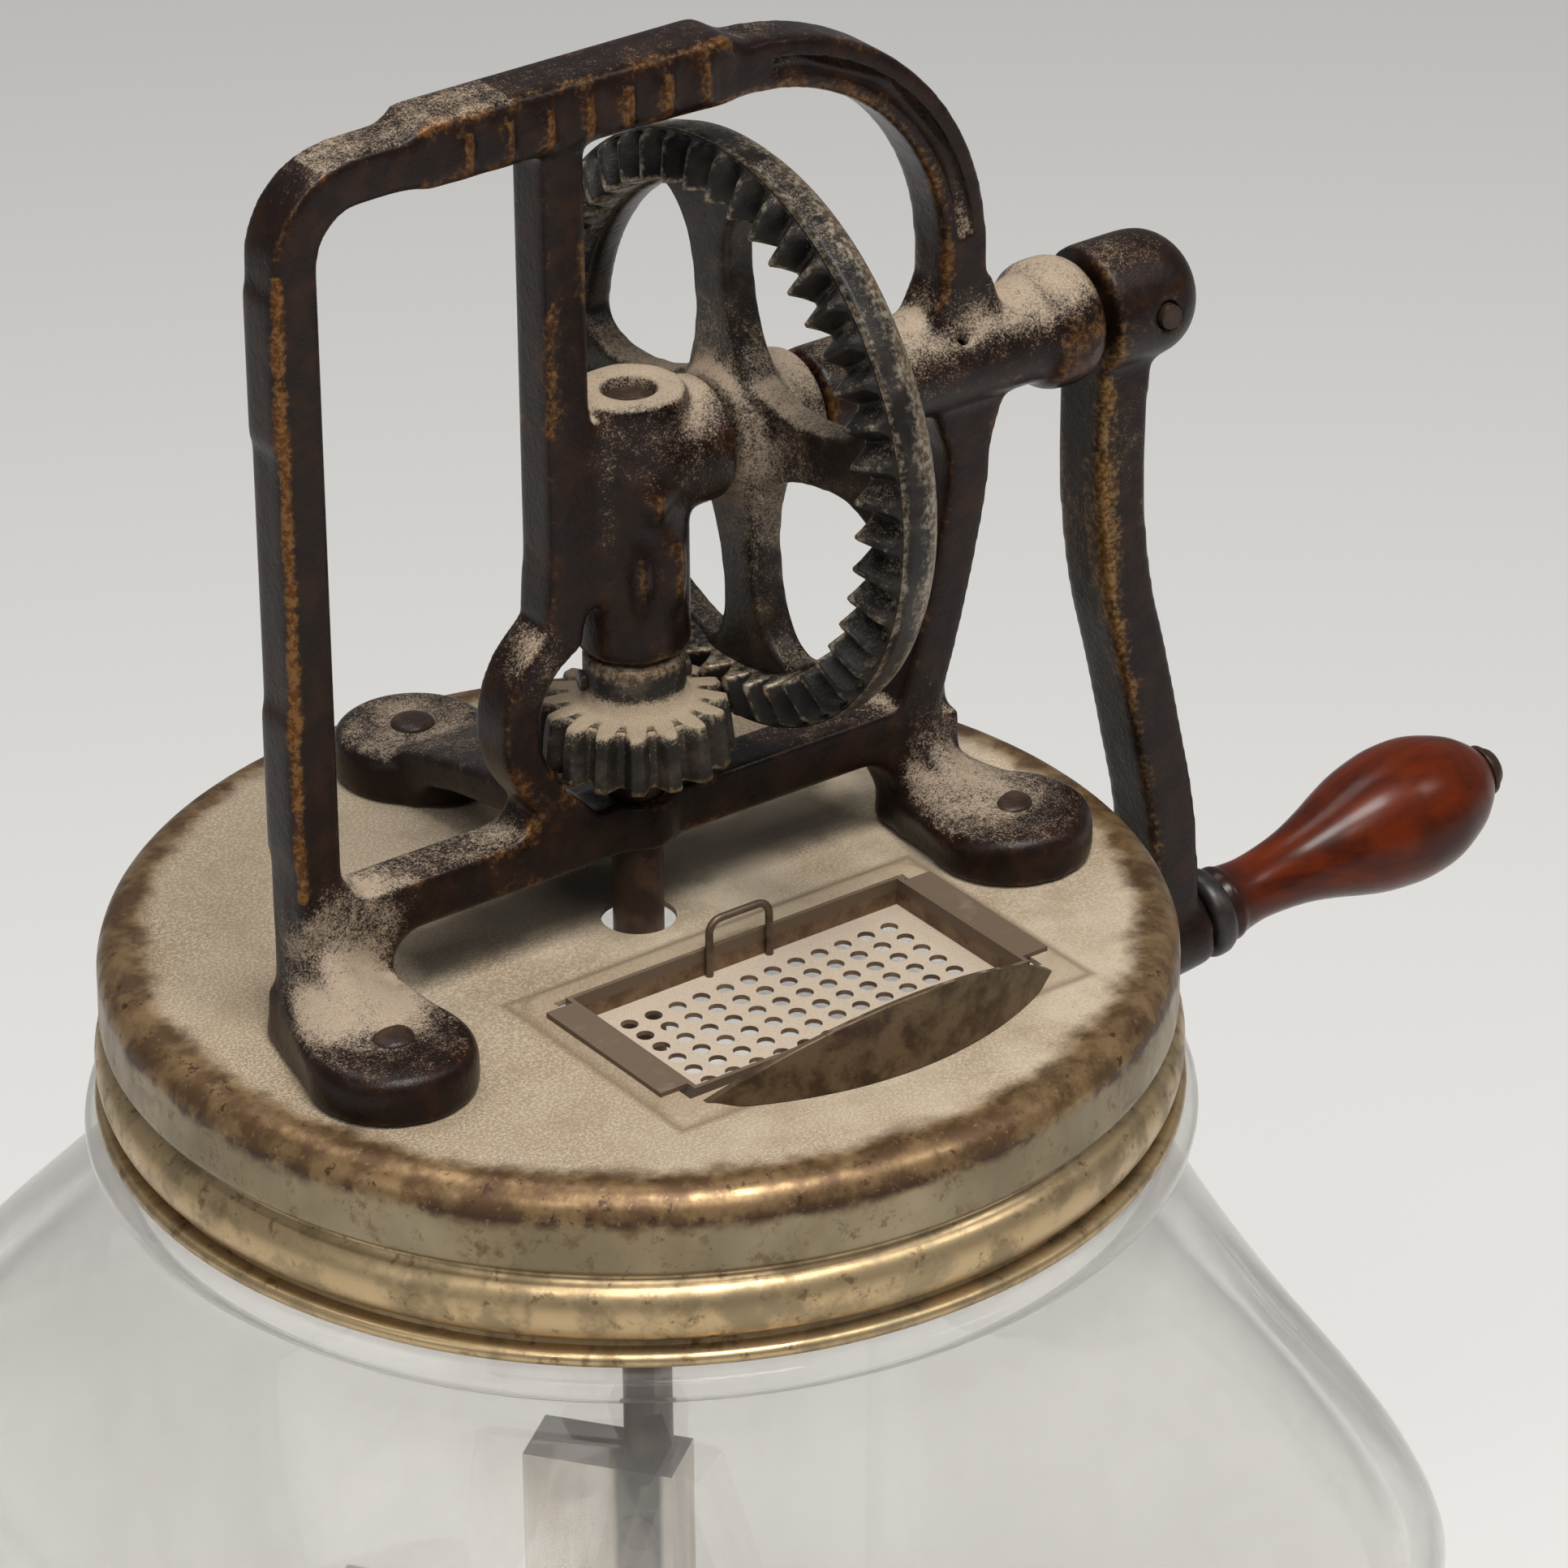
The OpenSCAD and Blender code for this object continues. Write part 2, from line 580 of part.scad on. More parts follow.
module pinion_pin_axis() translate([0, 0, pinion_pin_z]) rotate([0, 90, -20]) children();

module pinion_pin_hole() pinion_pin_axis()
    cylinder(r = pinion_pin_r + fix_gap, h = 30, center = true, $fn = 32);

module pinion_pin() color("dimgray") lid_frame() pinion_pin_axis()
    cylinder(r = pinion_pin_r, h = 14, center = true, $fn = 32);

module dasher_rod() color("gray") lid_frame() difference() {
    translate([0, 0, -rod_bottom]) cylinder(r = rod_r, h = rod_bottom + boss_top - 1.6);
    pinion_pin_hole();
    rotate([0, 0, dasher_turn]) rivet_spots()
        cylinder(r = rivet_nail_r + fix_gap, h = 40, center = true, $fn = 24);
}

rivet_nail_r = 1.2;
rivet_drops = [88, 121, 137, 157, 173];

// nails run front to back through the rod's line and through the stem's other side
module rivet_spots() for (d = rivet_drops) translate([0, 0, -d]) rotate([90, 0, 0]) children();

module dasher_stem() color("tan") lid_frame() rotate([0, 0, dasher_turn]) difference() {
    translate([stem_off - stem_w / 2, -stem_t / 2, -stem_top - stem_l]) cube([stem_w, stem_t, stem_l]);
    translate([0, 0, -stem_top - stem_l - 1]) cylinder(r = rod_r + fix_gap, h = stem_l + 2);
    rivet_spots() cylinder(r = rivet_nail_r + fix_gap, h = 40, center = true, $fn = 24);
}

// a flat blade on one face of the stem, with round windows for the cream
module blade(drop, side) color("wheat") lid_frame() rotate([0, 0, dasher_turn]) difference() {
    translate([-blade_l / 2, side > 0 ? stem_t / 2 : -stem_t / 2 - blade_t, -drop - blade_h])
        cube([blade_l, blade_t, blade_h]);
    for (x = [-34, -22, 22, 34]) translate([x, 0, -drop - blade_h / 2]) rotate([90, 0, 0])
        cylinder(r = 4.5, h = 60, center = true, $fn = 32);
    rivet_spots() cylinder(r = rivet_nail_r + fix_gap, h = 40, center = true, $fn = 24);
}

module dasher_blade_1() blade(blade_drop[0], 1);
module dasher_blade_2() blade(blade_drop[0], -1);
module dasher_blade_3() blade(blade_drop[1], 1);
module dasher_blade_4() blade(blade_drop[1], -1);

module dasher_rivets() color("goldenrod") lid_frame() rotate([0, 0, dasher_turn]) for (d = rivet_drops) {
    reach = d == rivet_drops[0] ? stem_t / 2 : stem_t / 2 + blade_t;
    translate([0, 0, -d]) rotate([90, 0, 0]) {
        cylinder(r = rivet_nail_r, h = 2 * reach, center = true, $fn = 24);
        for (s = [-1, 1]) translate([0, 0, s * (reach + 0.4)])
            cylinder(r = 2.6, h = 0.8, center = true, $fn = 24);
    }
}

glass_jar();
lid_cap();
pour_lip();
strainer_tray();
strainer_bail();
gear_frame();
frame_rivets();
crank_shaft();
drive_gear();
gear_pin();
crank_arm();
crank_pin();
grip_spindle();
wood_grip();
grip_ferrule();
grip_washer();
pinion_gear();
pinion_pin();
dasher_rod();
dasher_stem();
dasher_blade_1();
dasher_blade_2();
dasher_blade_3();
dasher_blade_4();
dasher_rivets();
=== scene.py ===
"""Hand-cranked glass butter churn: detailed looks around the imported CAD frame."""
import json
import math

import bmesh
import bpy
import numpy as np
from mathutils import Matrix, Vector, noise


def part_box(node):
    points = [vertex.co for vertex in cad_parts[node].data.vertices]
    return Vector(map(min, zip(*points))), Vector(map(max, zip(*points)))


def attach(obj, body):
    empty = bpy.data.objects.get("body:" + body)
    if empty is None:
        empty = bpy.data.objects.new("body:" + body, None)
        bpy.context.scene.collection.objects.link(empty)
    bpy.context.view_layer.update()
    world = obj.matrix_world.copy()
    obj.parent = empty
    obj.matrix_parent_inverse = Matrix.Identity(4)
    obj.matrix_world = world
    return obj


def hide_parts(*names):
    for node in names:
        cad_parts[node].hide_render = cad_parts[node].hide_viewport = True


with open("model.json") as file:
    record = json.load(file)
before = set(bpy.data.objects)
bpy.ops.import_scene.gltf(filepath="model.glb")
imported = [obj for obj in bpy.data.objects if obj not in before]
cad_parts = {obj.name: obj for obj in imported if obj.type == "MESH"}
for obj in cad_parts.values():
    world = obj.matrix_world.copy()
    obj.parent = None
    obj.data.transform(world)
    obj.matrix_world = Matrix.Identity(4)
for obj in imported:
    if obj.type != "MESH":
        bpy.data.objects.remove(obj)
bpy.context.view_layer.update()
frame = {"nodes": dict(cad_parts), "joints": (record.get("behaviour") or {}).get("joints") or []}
MM = 0.001
JOINTS = {j["name"]: j for j in frame["joints"]}

# Heights and places read from the CAD. LID is the height of the lid's flat top in millimetres.
# SHAFT_Z, and the heights in the lid, frame and gear sections, are measured up from it.
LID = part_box("gear_frame")[0].z / MM
SHAFT_Z = JOINTS["crank_turn"]["pos_m"][2] / MM - LID
JAR_LO, JAR_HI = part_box("glass_jar")
PINION_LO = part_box("pinion_gear")[0]

# centres (x, y) of the three rivets through the frame's feet: left, right, back
FEET = ((-46.8, -15.8), (46.6, -14.2), (-0.9, 48.2))
# the lid's oblong opening: x from, x to, y from, y to
OPEN = (4.9 - 26.25, 4.9 + 26.25, -26.5 - 14.1, -26.5 + 14.1)
# outer radius of the lid's side wall
R_WALL = 66.6


# ---------------------------------------------------------------- mesh helpers

def add_mesh(name, verts, faces, smooth=True):
    """Object from points in millimetres."""
    me = bpy.data.meshes.new(name)
    me.from_pydata([tuple(c * MM for c in v) for v in verts], [], faces)
    me.validate()
    me.update()
    if smooth:
        me.shade_smooth()
    ob = bpy.data.objects.new(name, me)
    bpy.context.scene.collection.objects.link(ob)
    return ob


def revolve(name, profile, n=96, origin=(0, 0, 0), axis="Z", closed=True, bend=None):
    """Turns (radius, height) pairs about an axis. bend(x, y, z) may shift a point.

    closed joins the last pair to the first, for a profile that stands off the axis.
    """
    verts, faces = [], []
    m = len(profile)
    for i in range(n):
        a = 2 * math.pi * i / n
        for r, h in profile:
            p = (r * math.cos(a), r * math.sin(a), h)
            if axis == "X":
                p = (h, p[0], p[1])
            if bend:
                p = bend(*p)
            verts.append((p[0] + origin[0], p[1] + origin[1], p[2] + origin[2]))
    for i in range(n):
        j = (i + 1) % n
        for k in range(m if closed else m - 1):
            q = (k + 1) % m
            faces.append((i * m + k, j * m + k, j * m + q, i * m + q))
    ob = add_mesh(name, verts, faces)
    weld(ob, 0.002)
    fix_normals(ob)
    return ob


def weld(ob, dist):
    """Merges points closer than dist millimetres."""
    bm = bmesh.new()
    bm.from_mesh(ob.data)
    bmesh.ops.remove_doubles(bm, verts=bm.verts, dist=dist * MM)
    bmesh.ops.dissolve_degenerate(bm, edges=bm.edges, dist=0.0005 * MM)
    bm.to_mesh(ob.data)
    bm.free()


def fix_normals(ob):
    """Turns every face outward and shades the mesh smooth."""
    bm = bmesh.new()
    bm.from_mesh(ob.data)
    bmesh.ops.recalc_face_normals(bm, faces=bm.faces)
    bm.to_mesh(ob.data)
    bm.free()
    ob.data.shade_smooth()


def prism(name, outline, lo, hi, plane="XZ"):
    """Flat outline pushed through from lo to hi along the third axis."""
    def at(u, v, w):
        return {"XZ": (u, w, v), "YZ": (w, u, v), "XY": (u, v, w)}[plane]
    n = len(outline)
    verts = [at(u, v, lo) for u, v in outline] + [at(u, v, hi) for u, v in outline]
    faces = [tuple(range(n)), tuple(range(2 * n - 1, n - 1, -1))]
    faces += [(i, i + n, (i + 1) % n + n, (i + 1) % n) for i in range(n)]
    ob = add_mesh(name, verts, faces, smooth=False)
    fix_normals(ob)
    return ob


def block(name, lo, hi):
    """Box between two corners."""
    outline = [(lo[0], lo[1]), (hi[0], lo[1]), (hi[0], hi[1]), (lo[0], hi[1])]
    return prism(name, outline, lo[2], hi[2], "XY")


def ball(name, centre, radii, n=24):
    """Ellipsoid."""
    prof = [(math.sin(math.pi * k / n), -math.cos(math.pi * k / n)) for k in range(n + 1)]
    ob = revolve(name, prof, 2 * n, closed=False)
    for v in ob.data.vertices:
        v.co = Vector([v.co[i] * radii[i] + centre[i] * MM for i in range(3)])
    return ob


def cad_copy(node, name):
    """A welded copy of a CAD node's mesh."""
    me = frame["nodes"][node].data.copy()
    me.name = name
    me.materials.clear()
    ob = bpy.data.objects.new(name, me)
    bpy.context.scene.collection.objects.link(ob)
    weld(ob, 0.004)
    return ob


def bake(ob):
    """Applies the modifiers."""
    dg = bpy.context.evaluated_depsgraph_get()
    me = bpy.data.meshes.new_from_object(ob.evaluated_get(dg))
    old = ob.data
    ob.modifiers.clear()
    ob.data = me
    bpy.data.meshes.remove(old)
    return ob


def join(name, obs):
    """One object made of several meshes that share the CAD frame."""
    bm = bmesh.new()
    for o in obs:
        bm.from_mesh(o.data)
    me = bpy.data.meshes.new(name)
    bm.to_mesh(me)
    bm.free()
    for o in obs:
        bpy.data.objects.remove(o)
    ob = bpy.data.objects.new(name, me)
    bpy.context.scene.collection.objects.link(ob)
    return ob


def boolean(ob, tool):
    """Cuts the tool out of the object and removes the tool."""
    mod = ob.modifiers.new("cut", "BOOLEAN")
    mod.operation = "DIFFERENCE"
    mod.solver = "EXACT"
    mod.object = tool
    bake(ob)
    bpy.data.objects.remove(tool)
    return ob


def cast(ob, voxel, rounds):
    """Voxel remesh and smoothing: the soft edges and fillets of a casting."""
    rem = ob.modifiers.new("voxels", "REMESH")
    rem.mode = "VOXEL"
    rem.voxel_size = voxel * MM
    sm = ob.modifiers.new("soft", "SMOOTH")
    sm.factor = 0.5
    sm.iterations = rounds
    bake(ob)
    ob.data.shade_smooth()
    mark_edges(ob, blur=6)
    return ob


def mark_edges(ob, rounds=14, full=0.35, blur=0):
    """Float attribute 'worn': above 0 on ridges, below 0 in hollows.

    It is each point's distance from a copy smoothed by so many rounds, and full is the distance
    in millimetres that counts as 1.
    """
    me = ob.data
    n = len(me.vertices)
    points = np.empty(n * 3)
    me.vertices.foreach_get("co", points)
    points = points.reshape(-1, 3)
    edges = np.empty(len(me.edges) * 2, np.int64)
    me.edges.foreach_get("vertices", edges)
    a, b = edges.reshape(-1, 2).T
    degree = np.maximum(np.bincount(a, minlength=n) + np.bincount(b, minlength=n), 1)

    def around(values):
        return np.bincount(a, values[b], n) + np.bincount(b, values[a], n)

    smooth = points.copy()
    for _ in range(rounds):
        for k in range(3):
            smooth[:, k] = 0.4 * smooth[:, k] + 0.6 * around(smooth[:, k]) / degree
    normals = np.empty(n * 3)
    me.vertex_normals.foreach_get("vector", normals)
    worn = ((points - smooth) * normals.reshape(-1, 3)).sum(1) / (full * MM)
    for _ in range(blur):
        worn = 0.5 * worn + 0.5 * around(worn) / degree
    set_attribute(me, "worn", np.clip(worn, -1.5, 1.5))


def set_attribute(me, name, values):
    at = me.attributes.get(name) or me.attributes.new(name, "FLOAT", "POINT")
    at.data.foreach_set("value", values.astype(np.float32))


def paint(ob, name, rule):
    """Float attribute from rule(x, y, z), with z measured from the lid, all in millimetres."""
    me = ob.data
    co = np.empty(len(me.vertices) * 3)
    me.vertices.foreach_get("co", co)
    x, y, z = (co.reshape(-1, 3) / MM).T
    set_attribute(me, name, np.clip(rule(x, y, z - LID), 0, 1))


def blob(x, y, z, centre, size):
    """Soft spot, 1 at its centre."""
    d = ((x - centre[0]) ** 2 + (y - centre[1]) ** 2 + (z - centre[2]) ** 2) / size ** 2
    return np.exp(-d)


def blobs(x, y, z, spots):
    """Sum of soft spots (strength, centre, size)."""
    return sum(k * blob(x, y, z, centre, size) for k, centre, size in spots)


def hull_outline(circles, n=40):
    """Outline around a few circles (x, y, r)."""
    out = []
    for k in range(n):
        a = 2 * math.pi * k / n
        d = (math.cos(a), math.sin(a))
        cx, cy, r = max(circles, key=lambda c: c[0] * d[0] + c[1] * d[1] + c[2])
        out.append((cx + r * d[0], cy + r * d[1]))
    return out


def loft(name, levels):
    """Closed solid through outlines [(height, points)] with equal point counts."""
    n = len(levels[0][1])
    verts = [(x, y, z) for z, pts in levels for x, y in pts]
    faces = [tuple(range(n - 1, -1, -1)), tuple(range((len(levels) - 1) * n, len(levels) * n))]
    for k in range(len(levels) - 1):
        low, high = k * n, (k + 1) * n
        faces += [(low + i, low + (i + 1) % n, high + (i + 1) % n, high + i) for i in range(n)]
    ob = add_mesh(name, verts, faces)
    fix_normals(ob)
    return ob


def smooth_step(a, b, x):
    """0 below a, 1 above b, an S curve between."""
    t = min(1.0, max(0.0, (x - a) / (b - a)))
    return t * t * (3 - 2 * t)


# ------------------------------------------------------------ material helpers

class Graph:
    """Builds one material's nodes. Every texture uses object space, so it moves with its piece."""

    def __init__(self, name):
        self.mat = bpy.data.materials.new(name)
        self.mat.use_nodes = True
        self.nt = self.mat.node_tree
        self.bsdf = self.nt.nodes["Principled BSDF"]
        self.out = self.nt.nodes["Material Output"]
        self.coord = self.nt.nodes.new("ShaderNodeTexCoord")
        self.pos = self.coord.outputs["Object"]
        self.up = self.new("ShaderNodeSeparateXYZ", Vector=self.coord.outputs["Normal"]).outputs[2]
        self.xyz = self.new("ShaderNodeSeparateXYZ", Vector=self.pos).outputs

    def new(self, kind, **ins):
        """New node with its inputs set by name."""
        nd = self.nt.nodes.new(kind)
        for k, v in ins.items():
            self.put(nd.inputs[k.replace("_", " ")], v)
        return nd

    def put(self, socket, v):
        """Links an output to the socket, or sets its value."""
        if isinstance(v, bpy.types.NodeSocket):
            self.nt.links.new(v, socket)
        elif isinstance(v, (tuple, list)) and len(v) == 3 and socket.type == "RGBA":
            socket.default_value = (*v, 1)
        else:
            socket.default_value = v

    def noise(self, scale, detail=4.0, rough=0.55, stretch=None, distort=0.0):
        """Noise of so many cells to the metre, from 0 to 1."""
        vec = self.pos
        if stretch:
            vec = self.new("ShaderNodeMapping", Vector=self.pos, Scale=stretch).outputs[0]
        nd = self.new("ShaderNodeTexNoise", Vector=vec, Scale=scale, Detail=detail, Roughness=rough)
        nd.inputs["Distortion"].default_value = distort
        return nd.outputs[0]

    def math(self, op, a, b=0.0, clamp=False):
        """Math node: op is its operation's name."""
        nd = self.nt.nodes.new("ShaderNodeMath")
        nd.operation = op
        nd.use_clamp = clamp
        self.put(nd.inputs[0], a)
        self.put(nd.inputs[1], b)
        return nd.outputs[0]

    def add(self, a, b):
        return self.math("ADD", a, b)

    def sub(self, a, b):
        return self.math("SUBTRACT", a, b)

    def mul(self, a, b):
        return self.math("MULTIPLY", a, b)

    def sway(self, noise, amount):
        """A noise about zero: amount times (noise - 0.5)."""
        return self.mul(self.sub(noise, 0.5), amount)

    def line(self, v, sharpness):
        """1 where v is 0, falling to 0 at a distance of 1 / sharpness."""
        return self.math("SUBTRACT", 1.0, self.math("ABSOLUTE", self.mul(v, sharpness)), True)

    def step(self, v, lo, hi, to=(0.0, 1.0)):
        """Smooth step of v from lo to hi, onto the range to."""
        nd = self.nt.nodes.new("ShaderNodeMapRange")
        nd.interpolation_type = "SMOOTHSTEP"
        for i, x in enumerate((v, lo, hi, to[0], to[1])):
            self.put(nd.inputs[i], x)
        return nd.outputs[0]

    def mix(self, f, a, b):
        """Colour a where f is 0 and b where f is 1."""
        nd = self.nt.nodes.new("ShaderNodeMix")
        nd.data_type = "RGBA"
        self.put(nd.inputs[0], f)
        self.put(nd.inputs[6], a)
        self.put(nd.inputs[7], b)
        return nd.outputs[2]

    def attr(self, name):
        """A mesh attribute, 0 where the mesh has none of that name."""
        nd = self.nt.nodes.new("ShaderNodeAttribute")
        nd.attribute_name = name
        return nd.outputs["Fac"]

    def bump(self, height, strength=0.3, dist=0.0003, under=None):
        """Fine relief, dist metres deep, over the normal under."""
        nd = self.new("ShaderNodeBump", Height=height, Strength=strength, Distance=dist)
        if under is not None:
            self.put(nd.inputs["Normal"], under)
        return nd.outputs[0]

    def blend(self, f, a, b):
        """Mixes two shader nodes."""
        nd = self.nt.nodes.new("ShaderNodeMixShader")
        self.put(nd.inputs[0], f)
        self.put(nd.inputs[1], a.outputs[0])
        self.put(nd.inputs[2], b.outputs[0])
        return nd

    def finish(self, color, rough, metal=0.0, normal=None, coat=0.0, spec=0.5):
        """Sets the main shader's sockets and returns the material."""
        self.put(self.bsdf.inputs["Base Color"], color)
        self.put(self.bsdf.inputs["Roughness"], rough)
        self.put(self.bsdf.inputs["Metallic"], metal)
        self.put(self.bsdf.inputs["Coat Weight"], coat)
        self.put(self.bsdf.inputs["Specular IOR Level"], spec)
        if normal is not None:
            self.put(self.bsdf.inputs["Normal"], normal)
        return self.mat


def iron(name, base=(0.0095, 0.0045, 0.0033), brown=(0.022, 0.009, 0.0048), gold=(0.20, 0.10, 0.035),
         dust=(0.44, 0.345, 0.25), dusty=0.5, wear=0.5, gloss=0.27, spec=0.19):
    """Old japanned casting: worn ridges, tan dust on upward faces and in hollows.

    The mesh attributes 'worn', 'gold' and 'dusty' steer it where a mesh has them.
    """
    g = Graph(name)
    big, mid = g.noise(45, 3), g.noise(240, 5, 0.6)
    fine, speck = g.noise(1300, 4, 0.65), g.noise(3800, 3, 0.7)
    grit = g.noise(9000, 2, 0.6)
    ridge, extra, bare = g.attr("worn"), g.attr("dusty"), g.attr("gold")
    # dark paint with brown clouds and a few pale specks
    color = g.mix(g.step(mid, 0.42, 0.68), base, brown)
    color = g.mix(g.step(speck, 0.68, 0.8, (0.0, 0.35)), color, (0.13, 0.085, 0.055))
    # ridges and marked places worn to a gold brown
    jag = g.add(g.sway(fine, 1.7), g.sway(mid, 2.0))
    w = g.add(g.add(ridge, jag), g.mul(bare, 1.35))
    worn = g.step(w, 1.2 - wear, 2.25 - wear)
    dark_gold = tuple(c * k for c, k in zip(gold, (0.55, 0.40, 0.25)))
    mark = g.mix(g.step(fine, 0.42, 0.6), dark_gold, gold)
    color = g.mix(g.mul(worn, 0.85), color, mark)
    # dust where the surface looks up, in hollows and at marked places
    hollow = g.mul(g.math("MAXIMUM", g.mul(ridge, -1.0), 0.0), 0.6)
    d = g.add(g.step(g.up, 0.3, 1.0, (0.0, 0.55)), hollow)
    d = g.add(d, g.mul(extra, 0.92))
    for texture, amount in ((big, 0.9), (speck, 2.0), (fine, 0.9), (mid, 0.9)):
        d = g.add(d, g.sway(texture, amount))
    d = g.mul(g.step(d, 0.85 - dusty * 0.5, 1.7 - dusty * 0.5), 0.95)
    color = g.mix(d, color, g.mix(g.step(grit, 0.35, 0.65), dust, tuple(c * 0.6 for c in dust)))
    rough = g.add(g.mul(d, 0.5), g.add(gloss - 0.06, g.mul(mid, 0.16)))
    metal = g.mul(worn, g.sub(0.55, g.mul(d, 0.55)))
    n = g.bump(speck, 0.25, 0.00012, g.bump(fine, 0.35, 0.0002, g.bump(mid, 0.25, 0.0006)))
    return g.finish(color, rough, metal, n, spec=spec)


# ------------------------------------------------------------------- materials

M_FRAME = iron("casting", dusty=0.42, wear=0.27)
M_WHEEL = iron("wheel_iron", base=(0.014, 0.010, 0.008), brown=(0.036, 0.023, 0.015),
               gold=(0.2, 0.125, 0.06), dusty=0.85, wear=0.35)
# the teeth's crests wear to a pale grey, which also stands in as a painted highlight along them
M_TEETH = iron("tooth_iron", base=(0.012, 0.010, 0.009), brown=(0.026, 0.022, 0.018),
               gold=(0.36, 0.32, 0.26), dust=(0.36, 0.295, 0.22), dusty=0.85, wear=0.55, gloss=0.34)
M_PINION = iron("pinion_iron", base=(0.016, 0.014, 0.012), brown=(0.05, 0.038, 0.028),
                gold=(0.30, 0.24, 0.17), dust=(0.42, 0.33, 0.23), dusty=0.8, wear=0.4, gloss=0.42)
M_ARM = iron("arm_iron", gold=(0.24, 0.145, 0.06), dust=(0.36, 0.28, 0.19), dusty=0.3, wear=0.36, gloss=0.34)
M_PIN = iron("pin_iron", base=(0.025, 0.016, 0.012), brown=(0.05, 0.028, 0.018), dusty=0.2, wear=0.2)
M_ROD = iron("rod_steel", base=(0.03, 0.018, 0.013), brown=(0.075, 0.042, 0.026), gold=(0.2, 0.13, 0.08),
             dusty=0.1, wear=0.3, gloss=0.4)


def box_distance(g, x, y, centre, half):
    """Distance outside an oblong on the lid, in metres; below 0 inside it."""
    dx = g.sub(g.math("ABSOLUTE", g.sub(x, centre[0])), half[0])
    dy = g.sub(g.math("ABSOLUTE", g.sub(y, centre[1])), half[1])
    return g.math("MAXIMUM", dx, dy)


def lid_material():
    """Dusty tin lid: pale top, worn gold brown roll, khaki side wall with a shiny bead. It carries painted
    shade on the top's left side, a painted shadow below the gears and a painted highlight on the bead.
    """
    g = Graph("lid_tin")
    x, y, z = g.xyz
    r = g.math("SQRT", g.add(g.mul(x, x), g.mul(y, y)))
    big, mid = g.noise(28, 4, 0.6), g.noise(160, 5, 0.62)
    fine, speck = g.noise(1100, 4, 0.6), g.noise(3600, 3, 0.7)
    h = g.sub(z, LID * MM)
    # flat top: pale dust with browner clouds
    top = g.mix(g.step(big, 0.40, 0.62), (0.45, 0.37, 0.265), (0.30, 0.225, 0.14))
    # painted shade: the top is darker towards its left side
    left = g.step(g.add(x, g.mul(y, -0.4)), -0.05, 0.03, (0.62, 0.0))
    top = g.mix(left, top, (0.20, 0.145, 0.085))
    top = g.mix(g.step(g.noise(22, 3), 0.52, 0.62, (0.0, 0.7)), top, (0.27, 0.20, 0.115))
    top = g.mix(g.step(g.noise(2600, 3, 0.7), 0.44, 0.60, (0.0, 0.6)), top, (0.52, 0.44, 0.34))
    top = g.mix(g.step(mid, 0.48, 0.7, (0.0, 0.45)), top, (0.27, 0.20, 0.125))
    top = g.mix(g.step(speck, 0.58, 0.72, (0.0, 0.8)), top, (0.15, 0.10, 0.06))
    # painted shadow: a dark band on the lid beneath and behind the frame's base bar and the gears
    shadow_band = g.add(box_distance(g, x, y, (0.004, 0.009), (0.034, 0.0065)), g.sway(mid, 0.006))
    top = g.mix(g.step(shadow_band, -0.003, 0.0035, (0.86, 0.0)), top, (0.03, 0.02, 0.011))
    # rolled edge: worn gold brown, with a dark line and flecks where it meets the wall
    rim = g.mix(g.step(mid, 0.36, 0.60), (0.27, 0.17, 0.078), (0.105, 0.056, 0.024))
    seam = g.line(g.add(h, 0.0036), 800.0)
    fleck = g.add(g.step(g.noise(420, 4, 0.7), 0.58, 0.70), g.mul(seam, g.step(mid, 0.40, 0.55, (0.25, 1.0))))
    rim = g.mix(g.math("MINIMUM", fleck, 0.9), rim, (0.045, 0.02, 0.009))
    rim = g.mix(g.step(fine, 0.58, 0.75, (0.0, 0.4)), rim, (0.40, 0.29, 0.17))
    # side wall: khaki tarnish with brown blotches
    cloud = g.noise(70, 4, 0.6, (1, 1, 0.45))
    wall = g.mix(g.step(cloud, 0.35, 0.65), (0.185, 0.145, 0.082), (0.265, 0.205, 0.115))
    wall = g.mix(g.step(g.noise(240, 5, 0.65), 0.54, 0.68, (0.0, 0.8)), wall, (0.12, 0.062, 0.024))
    wall = g.mix(g.step(g.noise(800, 4, 0.7), 0.62, 0.72, (0.0, 0.7)), wall, (0.06, 0.03, 0.014))
    wall = g.mix(g.step(big, 0.5, 0.7, (0.0, 0.5)), wall, (0.36, 0.31, 0.21))
    # the three zones meet along uneven lines
    wobble = g.sway(mid, 0.005)
    edge = g.step(g.add(g.add(r, wobble), g.sway(big, 0.006)), 0.0590, 0.0628)
    side = g.mul(g.step(g.add(h, g.sway(mid, 0.004)), -0.0032, -0.0052), g.step(r, 0.060, 0.062))
    color = g.mix(edge, top, rim)
    color = g.mix(side, color, wall)
    # brown stain along the raised curb
    centre = ((OPEN[0] + OPEN[1]) / 2 * MM, (OPEN[2] + OPEN[3]) / 2 * MM)
    half = (0.0262, 0.0141)
    q = g.add(box_distance(g, x, y, centre, half), g.mul(wobble, 0.15))
    near = g.sub(1.0, g.step(q, 0.0030, 0.0058))
    color = g.mix(g.mul(near, 0.45), color, (0.26, 0.19, 0.115))
    color = g.mix(g.mul(g.line(g.sub(q, 0.0042), 1100.0), 0.65), color, (0.13, 0.085, 0.045))
